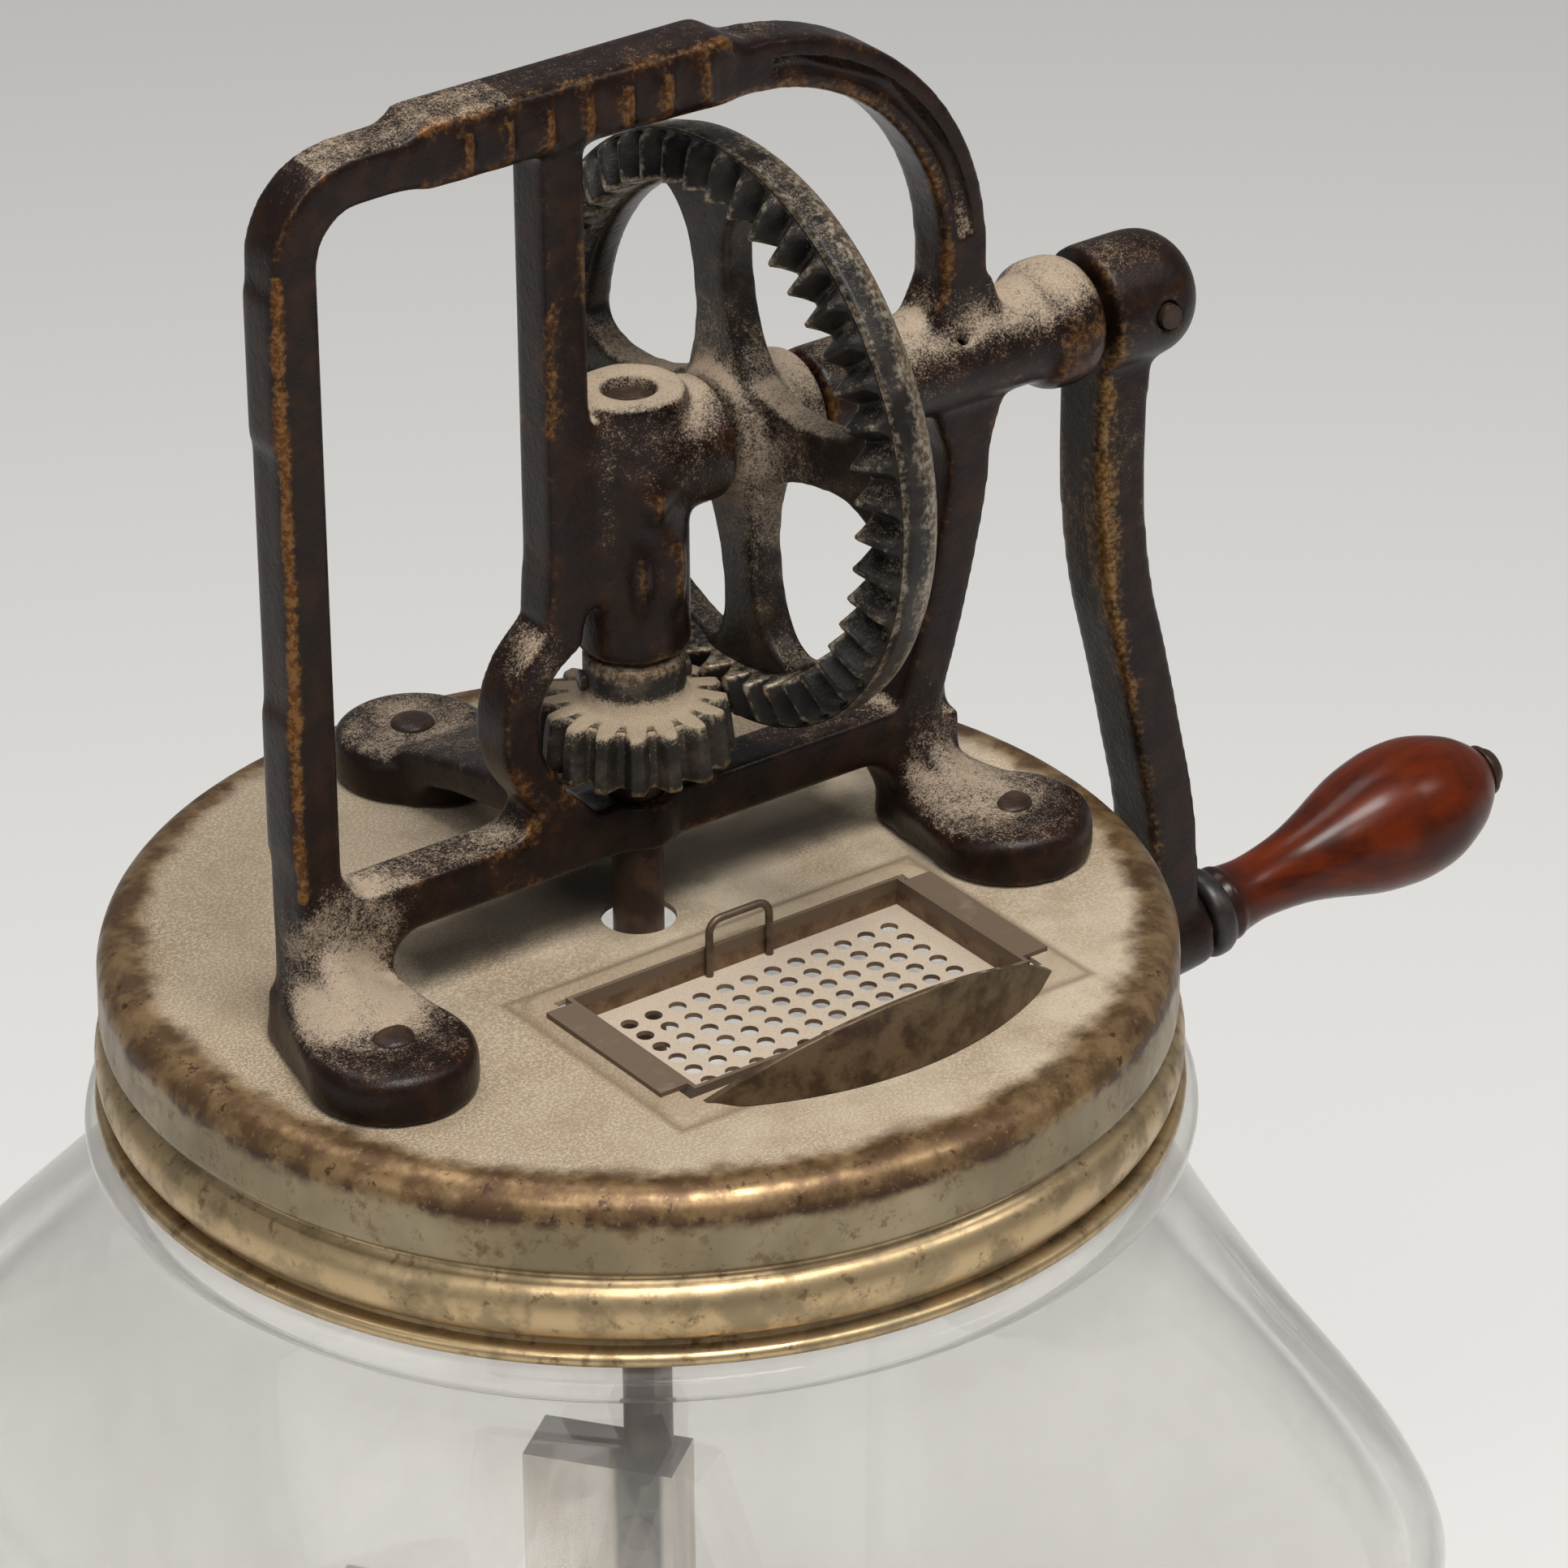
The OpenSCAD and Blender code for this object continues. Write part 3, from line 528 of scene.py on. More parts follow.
    # polished bead low on the wall, its colour lifted to a pale gold as a painted highlight, and dark spots
    # over the whole wall
    bead_polish_and_highlight = g.mul(side, g.step(h, -0.0108, -0.0116))
    color = g.mix(g.mul(bead_polish_and_highlight, g.step(mid, 0.62, 0.45, (0.3, 0.9))), color, (0.52, 0.38, 0.21))
    spots = g.step(g.noise(330, 5, 0.7), 0.56, 0.66, (0.0, 0.6))
    color = g.mix(g.mul(side, spots), color, (0.10, 0.052, 0.02))
    metal = g.add(g.mul(edge, 0.55), g.mul(bead_polish_and_highlight, 0.25))
    polish = g.mul(edge, g.add(0.52, g.mul(g.sub(0.5, mid), 0.5)))
    rough = g.sub(g.add(0.86, g.mul(mid, 0.1)), polish)
    n = g.bump(fine, 0.16, 0.00012, g.bump(mid, 0.12, 0.0004))
    return g.finish(color, rough, metal, n)


def tin_material(name, base, brown, pale, metal, rough, dusty, rim=None):
    """Tarnished sheet or wire with pale dust on upward faces. Above the height rim it's darker."""
    g = Graph(name)
    mid, fine, speck = g.noise(220, 5, 0.65), g.noise(1200, 4, 0.65), g.noise(4200, 3, 0.7)
    color = g.mix(g.step(mid, 0.4, 0.64), base, brown)
    color = g.mix(g.step(fine, 0.56, 0.72, (0.0, 0.6)), color, tuple(c * 0.45 for c in brown))
    up = g.add(g.step(g.up, 0.5, 0.95), g.sway(mid, 1.2))
    d = g.mul(g.step(up, 1.05 - dusty, 1.35 - dusty), 0.9)
    color = g.mix(d, color, g.mix(g.step(speck, 0.45, 0.75), pale, tuple(c * 0.7 for c in pale)))
    if rim:
        band = g.step(g.xyz[2], rim * MM - 0.0006, rim * MM)
        color = g.mix(g.mul(band, g.add(0.55, mid)), color, (0.12, 0.082, 0.052))
    rough = g.add(rough, g.mul(d, 0.9 - rough))
    metal = g.mul(metal, g.sub(1.0, d))
    return g.finish(color, rough, metal, g.bump(fine, 0.25, 0.0001))


M_LID = lid_material()
M_TRAY = tin_material("tray_tin", (0.17, 0.105, 0.058), (0.09, 0.045, 0.022), (0.53, 0.44, 0.34),
                      metal=0.3, rough=0.5, dusty=0.55, rim=LID + 0.1)
M_LIP = tin_material("lip_tin", (0.13, 0.088, 0.048), (0.048, 0.026, 0.013), (0.30, 0.23, 0.15),
                     metal=0.5, rough=0.4, dusty=0.1)
M_WIRE = tin_material("wire", (0.12, 0.085, 0.055), (0.05, 0.03, 0.018), (0.24, 0.19, 0.13),
                      metal=0.5, rough=0.45, dusty=0.1)


def grip_material():
    """Red varnished wood, nearly black where it meets the ferrule."""
    g = Graph("grip_wood")
    grain = g.noise(150, 5, 0.6, (0.22, 1.0, 1.0), 0.4)
    fine = g.noise(900, 4, 0.65, (0.12, 1.0, 1.0))
    color = g.mix(g.step(grain, 0.35, 0.66), (0.11, 0.015, 0.002), (0.03, 0.005, 0.002))
    color = g.mix(g.step(fine, 0.55, 0.75, (0.0, 0.55)), color, (0.02, 0.004, 0.002))
    color = g.mix(g.step(g.noise(60, 3), 0.52, 0.7, (0.0, 0.6)), color, (0.20, 0.033, 0.006))
    color = g.mix(g.step(g.noise(44, 4, 0.6), 0.48, 0.64, (0.0, 0.7)), color, (0.022, 0.004, 0.002))
    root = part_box("wood_grip")[0].x
    along = g.add(g.xyz[0], g.mul(grain, 0.008))
    color = g.mix(g.sub(1.0, g.step(along, root + 0.003, root + 0.012)), color, (0.016, 0.008, 0.006))
    scuff = g.mul(g.step(g.noise(1500, 4, 0.7), 0.66, 0.74), g.step(g.noise(70, 2), 0.6, 0.68))
    color = g.mix(g.mul(scuff, 0.7), color, (0.45, 0.30, 0.2))
    g.put(g.bsdf.inputs["Coat Roughness"], 0.2)
    rough = g.add(0.2, g.mul(fine, 0.16))
    return g.finish(color, rough, 0.0, g.bump(fine, 0.1, 0.0001), coat=0.14, spec=0.12)


def wood_material(name, light, dark, stretch, cap, stain=None):
    """Scrubbed pale wood. cap darkens the upward faces, and stain is the heading of a near-black stripe."""
    g = Graph(name)
    grain = g.noise(260, 5, 0.6, stretch, 0.3)
    fine = g.noise(1100, 4, 0.6, stretch)
    color = g.mix(g.step(grain, 0.38, 0.64), light, dark)
    color = g.mix(g.step(g.noise(40, 4, 0.6), 0.5, 0.68, (0.0, 0.6)), color, tuple(c * 0.6 for c in dark))
    color = g.mix(g.mul(g.step(g.up, 0.4, 0.8), cap), color, (0.075, 0.03, 0.016))
    if stain is not None:
        across = g.add(g.mul(g.xyz[0], math.cos(stain)), g.mul(g.xyz[1], math.sin(stain)))
        # a near-black stripe about 6 mm wide through the rod's axis, set by the given heading
        mark = g.sub(1.0, g.step(g.math("ABSOLUTE", across), 0.0026, 0.0036))
        color = g.mix(g.mul(mark, 0.95), color, (0.03, 0.024, 0.022))
    return g.finish(color, g.add(0.6, g.mul(fine, 0.25)), 0.0, g.bump(fine, 0.3, 0.0002))


M_GRIP = grip_material()
M_STEM = wood_material("stem_wood", (0.80, 0.74, 0.67), (0.66, 0.57, 0.48), (1, 1, 0.08), 0.95,
                       math.radians(-53))
M_BLADE = wood_material("blade_wood", (0.82, 0.76, 0.69), (0.68, 0.59, 0.50), (0.25, 0.25, 1.0), 0.3)


def black_material():
    """Worn black ferrule."""
    g = Graph("ferrule_black")
    mid, fine = g.noise(300, 4), g.noise(1500, 4)
    color = g.mix(g.step(mid, 0.4, 0.65), (0.012, 0.010, 0.010), (0.035, 0.026, 0.022))
    color = g.mix(g.step(fine, 0.62, 0.74, (0.0, 0.5)), color, (0.11, 0.07, 0.045))
    return g.finish(color, g.add(0.3, g.mul(mid, 0.2)), 0.2, g.bump(fine, 0.2, 0.0001))


def glass_material():
    """Clear old glass: see-through where it faces the eye, refracting at its edges, with a milky film."""
    g = Graph("jar_glass")
    cloud, smear = g.noise(16, 4, 0.6), g.noise(30, 5, 0.7, (1.0, 1.0, 0.35), 0.6)
    fine = g.noise(500, 4, 0.7)
    haze = g.mul(g.step(cloud, 0.38, 0.72, (0.05, 0.14)), g.step(smear, 0.35, 0.7, (0.6, 1.2)))
    haze = g.add(haze, g.mul(g.step(fine, 0.6, 0.75), g.step(smear, 0.55, 0.7, (0.0, 0.10))))
    glass = g.bsdf
    g.put(glass.inputs["Base Color"], (0.93, 0.94, 0.925))
    g.put(glass.inputs["Roughness"], 0.015)
    g.put(glass.inputs["IOR"], 1.40)
    g.put(glass.inputs["Transmission Weight"], 1.0)
    g.put(glass.inputs["Normal"], g.bump(g.noise(26, 2), 0.10, 0.0015))
    film = g.new("ShaderNodeBsdfDiffuse", Color=(0.97, 0.955, 0.92))
    clear = g.new("ShaderNodeBsdfTransparent", Color=(0.966, 0.962, 0.952))
    facing = g.new("ShaderNodeLayerWeight", Blend=0.5).outputs["Facing"]
    wall = g.blend(g.step(facing, 0.4, 0.85, (0.85, 0.08)), glass, clear)
    g.nt.links.new(g.blend(haze, wall, film).outputs[0], g.out.inputs["Surface"])
    return g.mat


M_BLACK = black_material()
M_GLASS = glass_material()


def place(ob, mat, body, slot=None, *replaced):
    """Gives a piece its material and its body, and hides the CAD nodes it stands for. The slot argument is
    not used.
    """
    ob.data.materials.clear()
    ob.data.materials.append(mat)
    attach(ob, body)
    if replaced:
        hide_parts(*replaced)
    return ob


# ------------------------------------------------------------------------- jar

def rounded_square(a, rc, t):
    """Radius at angle t of a square of half width a with corner radius rc."""
    u = abs((t + math.pi / 4) % (math.pi / 2) - math.pi / 4)
    c = a - rc
    if a * math.tan(u) <= c:
        return a / math.cos(u)
    b = (math.cos(u) + math.sin(u)) * c
    return b + math.sqrt(max(b * b - (2 * c * c - rc * rc), 0.0))


def jar():
    """One closed shell: up the outside, over the lip and down the inside.

    A level is (height, share of the square, round radius, square's half width, corner radius).
    """
    turn = math.radians(-4)
    span = (JAR_HI.x - JAR_LO.x) / MM
    rc, foot, wall, floor_z = 19.0, 12.0, 4.0, 7.0
    # the box of a square turned by 4 degrees, solved for the square's half width
    a = (span / 2 - rc) / (math.cos(-turn) + math.sin(-turn)) + rc
    levels = []
    for k in range(13):
        s = math.radians(90 * k / 12)
        cut = foot * (1 - math.sin(s))
        levels.append((foot * (1 - math.cos(s)), 1, 63, a - cut, max(rc - cut, 6)))
    for k in range(1, 8):
        levels.append((foot + (LID - 81 - foot) * k / 8, 1, 63, a, rc))

    def share(d):
        """Share of the square at depth d down the shoulder, from 0 to 1."""
        d = d * d * (3 - 2 * d) * 0.12 + d * 0.88
        return 1 - (1 - d) ** 1.46

    for k in range(29):
        d = 1 - k / 28
        levels.append((LID - 33 - 48 * d, share(d), 64.2, a, rc))
    # neck with its moulded bead, then the lip: (depth below the lid's top, radius)
    for h, r in ((30.4, 64.25), (29, 64.6), (28, 65.3), (27.3, 66.9), (26.8, 68.2), (26.1, 69.0),
                 (25.2, 69.2), (24.3, 69.0), (23.6, 68.2), (23.1, 66.9), (22.7, 65.3), (22.2, 63.6),
                 (21.6, 63.0), (12, 63.0), (2.3, 63.0), (1.5, 62.6), (1.0, 61.9), (0.82, 61.0)):
        levels.append((LID - h, 0, r, a, rc))
    for h, r in ((0.82, 60.5), (1.1, 59.7), (1.8, 59.2), (3, 59.0), (12, 59.0), (24, 59.0), (31, 59.2)):
        levels.append((LID - h, 0, r, a, rc))
    for k in range(29):
        d = k / 28
        levels.append((LID - 35.4 - 48 * d, share(d), 60.2, a - wall, rc - wall))
    for k in range(12, -1, -1):
        s = math.radians(90 * k / 12)
        cut = foot * (1 - math.sin(s))
        levels.append((floor_z + foot * (1 - math.cos(s)), 1, 63, a - wall - cut, max(rc - wall - cut, 4)))
    n = 256
    verts, faces = [], []
    for z, w, r0, aa, cc in levels:
        for i in range(n):
            t = 2 * math.pi * i / n
            r = r0 + (rounded_square(aa, cc, t) - r0) * w
            verts.append((r * math.cos(t + turn), r * math.sin(t + turn), z))
    rows = len(levels)
    for k in range(rows - 1):
        for i in range(n):
            j = (i + 1) % n
            faces.append((k * n + i, k * n + j, (k + 1) * n + j, (k + 1) * n + i))
    verts += [(0, 0, 0), (0, 0, floor_z)]
    for i in range(n):
        j = (i + 1) % n
        faces.append((rows * n, j, i))
        faces.append((rows * n + 1, (rows - 1) * n + i, (rows - 1) * n + j))
    ob = add_mesh("jar", verts, faces)
    fix_normals(ob)
    return ob


place(jar(), M_GLASS, "jar", "glass", "glass_jar")


# ------------------------------------------------------------------------- lid

def curb_height(x, y):
    """Height of the raised curb round the lid's opening."""
    dx = max(OPEN[0] - x, x - OPEN[1], 0.0)
    dy = max(OPEN[2] - y, y - OPEN[3], 0.0)
    d = math.hypot(dx, dy)
    return 0.85 * (1 - smooth_step(2.3, 4.4, d))


def lid():
    """Rolled sheet with a curb, a few dents, the opening and the rod's hole."""
    def arc(cx, cz, r, a0, a1, n):
        return [(cx + r * math.cos(math.radians(a0 + (a1 - a0) * k / n)),
                 cz + r * math.sin(math.radians(a0 + (a1 - a0) * k / n))) for k in range(n + 1)]
    outer = [(0.35 * k, 0.0) for k in range(1, 179)]
    outer += arc(R_WALL - 3.8, -3.8, 3.8, 90, 0, 12)
    outer += [(R_WALL, z) for z in (-5.5, -7.5, -9.3, -9.9)]
    outer += [(R_WALL - 0.3, -10.4), (R_WALL - 0.9, -10.8), (R_WALL - 1.5, -11.1)]
    outer += [(R_WALL - 1.7, -11.5), (R_WALL - 1.6, -12.0)]
    outer += [(R_WALL - 1.55 + 2.4 * math.cos(t), -16.1 + 3.8 * math.sin(t))
              for t in (math.radians(72 - 144 * k / 14) for k in range(15))]
    outer += [(R_WALL - 1.5, -20.2), (R_WALL - 1.3, -20.7)]
    outer += arc(R_WALL + 0.2, -21.7, 0.95, 105, -90, 9)
    # the sheet is 0.8 mm thick
    inner = [(r - 0.8 if r > 62 else r, min(z, -0.8)) for r, z in reversed(outer[:-1])]
    prof = [(0.0, 0.0)] + outer + inner + [(0.0, -0.8)]

    def bend(x, y, z):
        r = math.hypot(x, y)
        p = Vector((x, y, 0)) * 0.03
        dent = noise.noise(p) * 0.22 + noise.noise(p * 2.7) * 0.07
        if z > -1.0:
            k = 1 - smooth_step(58, 63, r)
            z += curb_height(x, y) * k + dent * k * smooth_step(6, 14, r) * 0.7 - 0.05 * k
            return x, y, z
        a = math.atan2(y, x)
        q = noise.noise(Vector((math.cos(a) * 2.2, math.sin(a) * 2.2, z * 0.05))) * 0.16
        s = 1 + q / max(r, 1) * (1 if z < -3 else 0)
        return x * s, y * s, z
    ob = revolve("lid_sheet", prof, 640, origin=(0, 0, LID), bend=bend)
    ob = boolean(ob, block("tool", (OPEN[0], OPEN[2], LID - 6), (OPEN[1], OPEN[3], LID + 6)))
    drill = [(0, -6), (4.7, -6), (4.7, 6), (0, 6)]
    ob = boolean(ob, revolve("tool", drill, 64, origin=(0, 0, LID), closed=False))
    ob.data.shade_smooth()
    mod = ob.modifiers.new("sharp", "EDGE_SPLIT")
    mod.split_angle = math.radians(50)
    return ob


place(lid(), M_LID, "lid", "tin", "lid_cap")


def merge_flats(ob):
    """Turns each flat patch of triangles into a few large faces, so that bevels come out clean."""
    bm = bmesh.new()
    bm.from_mesh(ob.data)
    bmesh.ops.dissolve_limit(bm, angle_limit=math.radians(0.6), verts=bm.verts, edges=bm.edges)
    bm.to_mesh(ob.data)
    bm.free()


def soft_copy(node, name, mat, body, slot, bevel=0.25, segments=2):
    """A CAD node's own shape with small rounded edges."""
    ob = cad_copy(node, name)
    merge_flats(ob)
    mod = ob.modifiers.new("soft", "BEVEL")
    mod.width = bevel * MM
    mod.segments = segments
    mod.limit_method = "ANGLE"
    mod.angle_limit = math.radians(40)
    mod.use_clamp_overlap = True
    bake(ob)
    ob.data.shade_smooth()
    split = ob.modifiers.new("sharp", "EDGE_SPLIT")
    split.split_angle = math.radians(38)
    even = ob.modifiers.new("even", "WEIGHTED_NORMAL")
    even.mode = "FACE_AREA"
    even.weight = 90
    bake(ob)
    return place(ob, mat, body, slot, node)


def rivets():
    """Domed heads above the feet and peened ends below the lid."""
    obs = []
    for x, y in FEET:
        prof = [(0, 7.35), (1.2, 7.33), (2.1, 7.2), (2.65, 6.95), (2.85, 6.6), (2.85, 6.2), (0, 6.2)]
        obs.append(revolve("r", prof, 40, origin=(x, y, LID), closed=False))
        prof = [(0, -1.7), (2.2, -1.6), (2.8, -1.2), (2.8, -0.8), (0, -0.8)]
        obs.append(revolve("r", prof, 40, origin=(x, y, LID), closed=False))
    ob = join("rivet_heads", obs)
    fix_normals(ob)
    return ob


place(rivets(), M_PIN, "lid", "rivet", "frame_rivets")
soft_copy("pour_lip", "lip_sheet", M_LIP, "lid", "pour_tin", 0.12, 1)
soft_copy("strainer_tray", "tray_sheet", M_TRAY, "strainer", "strainer_tin", 0.1, 1)
soft_copy("strainer_bail", "bail_wire", M_WIRE, "strainer", "wire", 0.05, 1)


# ----------------------------------------------------------------- gear frame

def frame_casting():
    """The CAD frame joined with webs, spread feet and relief, remeshed as one casting."""
    parts = [cad_copy("gear_frame", "base")]
    L = LID

    def web(points, half):
        """Flat web of twice the thickness half through points (x, height over the lid)."""
        parts.append(prism("w", [(x, z + L) for x, z in points], -half, half))

    # posts that flow into the foot pads
    for px, hx, (fx, fy) in ((-47.7, -43.8, FEET[0]), (41.6, 45.0, FEET[1])):
        levels = []
        for k in range(19):
            z = 0.02 + 20 * k / 18
            t = max(0.0, (20 - z) / 20) ** 2.4
            edge = 1.6 * (1 - min(1.0, z / 1.4)) ** 2 * 0.2
            pad = min(1.0, max(0.0, (8.2 - z) / 3.4)) ** 0.5
            y = fy * min(1.0, t * 1.75)
            r = 3.4 + (10.2 - 3.4) * min(1.0, t * 2.1)
            r = r * (0.35 + 0.65 * pad) if z > 4.6 else r - edge
            x = px + (fx - px) * min(1.0, t * 1.5)
            swell = 2.6 if px < 0 else 1.2
            circles = [(px, 0, 3.3 + swell * t), (hx, 0.6, 2.2 + 3.6 * t), (x, y, r)]
            levels.append((z + L, hull_outline(circles)))
        parts.append(loft("w", levels))
    web([(-39.5, 3), (-39.5, 12), (-34, 12), (-37.2, 9), (-38.6, 5)], 3.2)
    web([(39, 3), (39, 12), (32, 12), (36, 9), (38, 5)], 3.2)
    web([(-44.8, 17), (-44.8, 22.5), (-43.4, 19.6), (-40, 17.6)], 3.2)
    web([(-15.6, 17), (-16.2, 22), (-18.5, 18.8), (-22.5, 17)], 3.3)
    web([(-10, 17), (-10.4, 21.5), (-8.2, 18.6), (-6, 17)], 3.3)
    # worn steps on the left post's outer face
    parts.append(block("w", (-51.3, -3.3, 79 + L), (-50.5, 3.3, 98 + L)))
    parts.append(block("w", (-51.3, -3.3, 25 + L), (-50.5, 3.3, 44 + L)))
    # web between the centre post and the boss, and ends of the name block
    web([(-14.5, 46), (-13.6, 56), (-12, 46)], 3.3)
    web([(-33.5, 107), (-30, 106.4), (-30, 114.4), (-33.5, 112.8)], 3.9)
    web([(12.4, 106.4), (16.5, 106.2), (16.5, 112.2), (12.4, 114.6)], 3.9)
    # generic raised bars on the name block
    for k in range(7):
        x = -26.5 + k * 5.6
        parts.append(block("w", (x, -5.4, 107.6 + L), (x + 2.4, -4.2, 112.6 + L)))
    # generic relief on the boss: three plain drops
    parts.append(ball("w", (-1.0, -6.6, 59.5 + L), (1.9, 1.5, 3.0)))
    parts.append(ball("w", (2.0, -6.3, 49.5 + L), (1.2, 1.5, 5.2)))
    parts.append(ball("w", (-3.2, -6.0, 49.5 + L), (1.2, 1.6, 5.2)))
    # fillet between the housing and the curved bar
    web([(41, 66), (44.5, 73), (52, 73), (54.5, 66)], 3.6)
    web([(43, 58), (45.6, 50), (51.8, 50), (54.5, 58)], 3.6)
    # back foot: a pad that runs up into the arched strap
    levels = []
    for k in range(9):
        z = 0.02 + 6.4 * k / 8
        r = 10.3 - 2.0 * (z / 6.5) ** 6
        levels.append((z + L, hull_outline([(-0.9, 48.2, r), (-0.9, 41.8 - 0.4 * z, 6.4 - 0.2 * z)])))
    parts.append(loft("w", levels))
    ob = join("frame_casting", parts)
    cast(ob, 0.5, 24)
    # channel in the front face of the curved bar, an arc about (15.5, 77)
    sweep = [math.radians(84 - 80 * k / 12) for k in range(13)]
    arc = [(33.4, t) for t in sweep] + [(31.0, t) for t in reversed(sweep)]
    channel = [(15.5 + r * math.cos(t), 77 + r * math.sin(t) + L) for r, t in arc]
    boolean(ob, prism("tool", channel, -4.4, -2.7))
    ob.data.shade_smooth()
    sm = ob.modifiers.new("soft", "SMOOTH")
    sm.factor = 0.5
    sm.iterations = 2
    bake(ob)
    ob.data.shade_smooth()
    mark_edges(ob, 30, 0.42, 6)
    paint(ob, "dusty", frame_dust)
    paint(ob, "gold", frame_gold)
    return ob


def frame_dust(x, y, z):
    """Dust on the boss, the housing, the feet and the top bar's left end."""
    v = blobs(x, y, z, (
        (1.2, (5, 0, 65), 12), (0.8, (0, 0, 73), 7), (0.8, (-14, -3, 41), 8),
        (1.1, (-46, -9, 9), 9), (1.1, (-46, -4, 12), 8), (0.75, (43, -5, 14), 10), (0.5, (46, -14, 8), 9),
        (0.5, (-40, 0, 19), 8), (0.5, (-22, 0, 18), 8), (0.5, (0, 46, 8), 14),
        (0.9, (52, -1, 69), 11), (0.8, (38, -2, 66), 9), (0.9, (62, -2, 69), 8), (0.4, (-42, -3, 106), 6)))
    return v + 0.35 * (z > 112) * (x < -18)


def frame_gold(x, y, z):
    """Paint worn off the left post's corner, the top bar and its raised bars, the arch and the boss."""
    v = 0.9 * np.exp(-((x + 50.3) / 1.0) ** 2 - ((y + 3.2) / 1.0) ** 2) * (z > 20) * (z < 101)
    v += 0.35 * (np.abs(x + 9) < 22) * (y < -3) * (z > 104)
    bars = np.abs((x + 25.3) % 5.6 - 0.2) < 1.0
    v += 0.5 * bars * (y < -3.8) * (np.abs(z - 110) < 2.6) * (np.abs(x + 9) < 18)
    arch = np.hypot(x - 15.5, z - 77)
    v += 0.45 * (arch < 30.4) * (arch > 26) * (z > 70)
    v += 0.6 * np.exp(-(x / 5) ** 2 - ((z - 52) / 10) ** 2) * (y < -4)
    return v + blobs(x, y, z, ((0.55, (50, -5, 60), 9), (0.6, (63, -7, 62), 8), (0.5, (-16, -4, 22), 7),
                               (0.4, (-22, -4, 12), 8), (0.4, (8, -4, 13), 7)))


place(frame_casting(), M_FRAME, "lid", "iron_frame", "gear_frame")


# ------------------------------------------------------------------- the wheel

def tooth(i, per, flat, foot):
    """Height of a tooth, 0 to 1, at step i of a ring with per steps to a tooth.

    The crest is level up to the share flat of the pitch, and the flank ends at the share foot.
    """
    u = (i / per) % 1.0
    u = min(u, 1 - u)
    return 1 - min(1.0, max(0.0, (u - flat) / (foot - flat)))


def toothed(name, verts, n):
    """Closed ring from n profiles in a row, its points in millimetres."""
    m = len(verts) // n
    faces = []
    for i in range(n):
        j = (i + 1) % n
        for k in range(m):
            q = (k + 1) % m
            faces.append((i * m + k, j * m + k, j * m + q, i * m + q))
    ob = add_mesh(name, verts, faces)
    fix_normals(ob)
    return ob


def wheel_ring():
    """Bevel ring with 45 teeth that face the pinion."""
    teeth, per = 45, 18
    phase = math.radians(-8)
    verts = []
    n = teeth * per

    def crest(r):
        """Where the teeth's sloping crests stand along X at radius r."""
        return 9.9 + (r - 32) * 1.3 / 5.3

    for i in range(n):
        t = tooth(i, per, 0.05, 0.44)
        a = 2 * math.pi * i / n + phase
        prof = [(30.9, 18.4), (30.7, 17.0), (30.7, 15.2), (30.9 + 0.2 * t, crest(31) + 3.3 - 2.3 * t),
                (31.3, crest(31.3) + 3.2 - 2.95 * t), (32.0, crest(32) + 3.1 - 3.07 * t),
                (33.5, crest(33.5) + 3.1 - 3.1 * t), (35.2, crest(35.2) + 3.0 - 3.0 * t),
                (36.1, crest(36.1) + 2.8 - 2.75 * t), (36.5, crest(36.5) + 2.2 - 1.9 * t),
                (36.85, crest(36.8) + 1.6 - 0.6 * t), (37.1, crest(37) + 1.3), (37.28, crest(37) + 1.7),
                (37.3, 12.6), (37.3, 14.2), (37.28, 16.2), (36.9, 17.5), (36.0, 18.5), (34.6, 18.9),
                (31.6, 18.9)]
        # step 0 is the wheel's lowest point, before the phase
        verts += [(x, r * math.sin(a), -r * math.cos(a) + SHAFT_Z + LID) for r, x in prof]
    ob = toothed("wheel_teeth", verts, n)
    mark_edges(ob, 5, 0.3)
    return ob


def wheel_body():
    """Rim, hub and four spokes behind the teeth."""
    parts = []
    z0 = SHAFT_Z + LID
    rim = [(30.0, 14.4), (33.5, 14.2), (35.2, 15.0), (34.4, 17.6), (33.2, 18.7), (30.2, 18.7)]
    parts.append(revolve("w", rim, 120, origin=(0, 0, z0), axis="X"))
    hub = [(0, 11.3), (7.2, 11.3), (8.0, 12.2), (8.3, 14), (8.3, 19), (7.7, 22.6), (7.2, 24.4), (0, 24.4)]
    parts.append(revolve("w", hub, 64, origin=(0, 0, z0), axis="X", closed=False))
    # half width of a spoke along its length
    half = [(4, 6.4), (8, 6.2), (11, 4.7), (15, 3.9), (20, 3.7), (24, 4.2), (27, 5.6), (29.5, 8.2),
            (31.5, 11.5)]
    for k in range(4):
        a = math.radians(-8 + 90 * k)
        dy, dz = math.sin(a), -math.cos(a)
        pts = half + [(r, -w) for r, w in reversed(half)]
        out = [(r * dy + w * dz, r * dz - w * dy + z0) for r, w in pts]
        parts.append(prism("w", out, 13.6, 18.3, "YZ"))
    ob = join("wheel_spider", parts)
    cast(ob, 0.55, 24)
    paint(ob, "dusty", lambda x, y, z: 1.0 * blob(x, y, z, (12, 0, SHAFT_Z), 17) + 0.15)
    return ob


place(wheel_ring(), M_TEETH, "crank", "iron_wheel", "drive_gear")
place(wheel_body(), M_WHEEL, "crank", "iron_wheel")


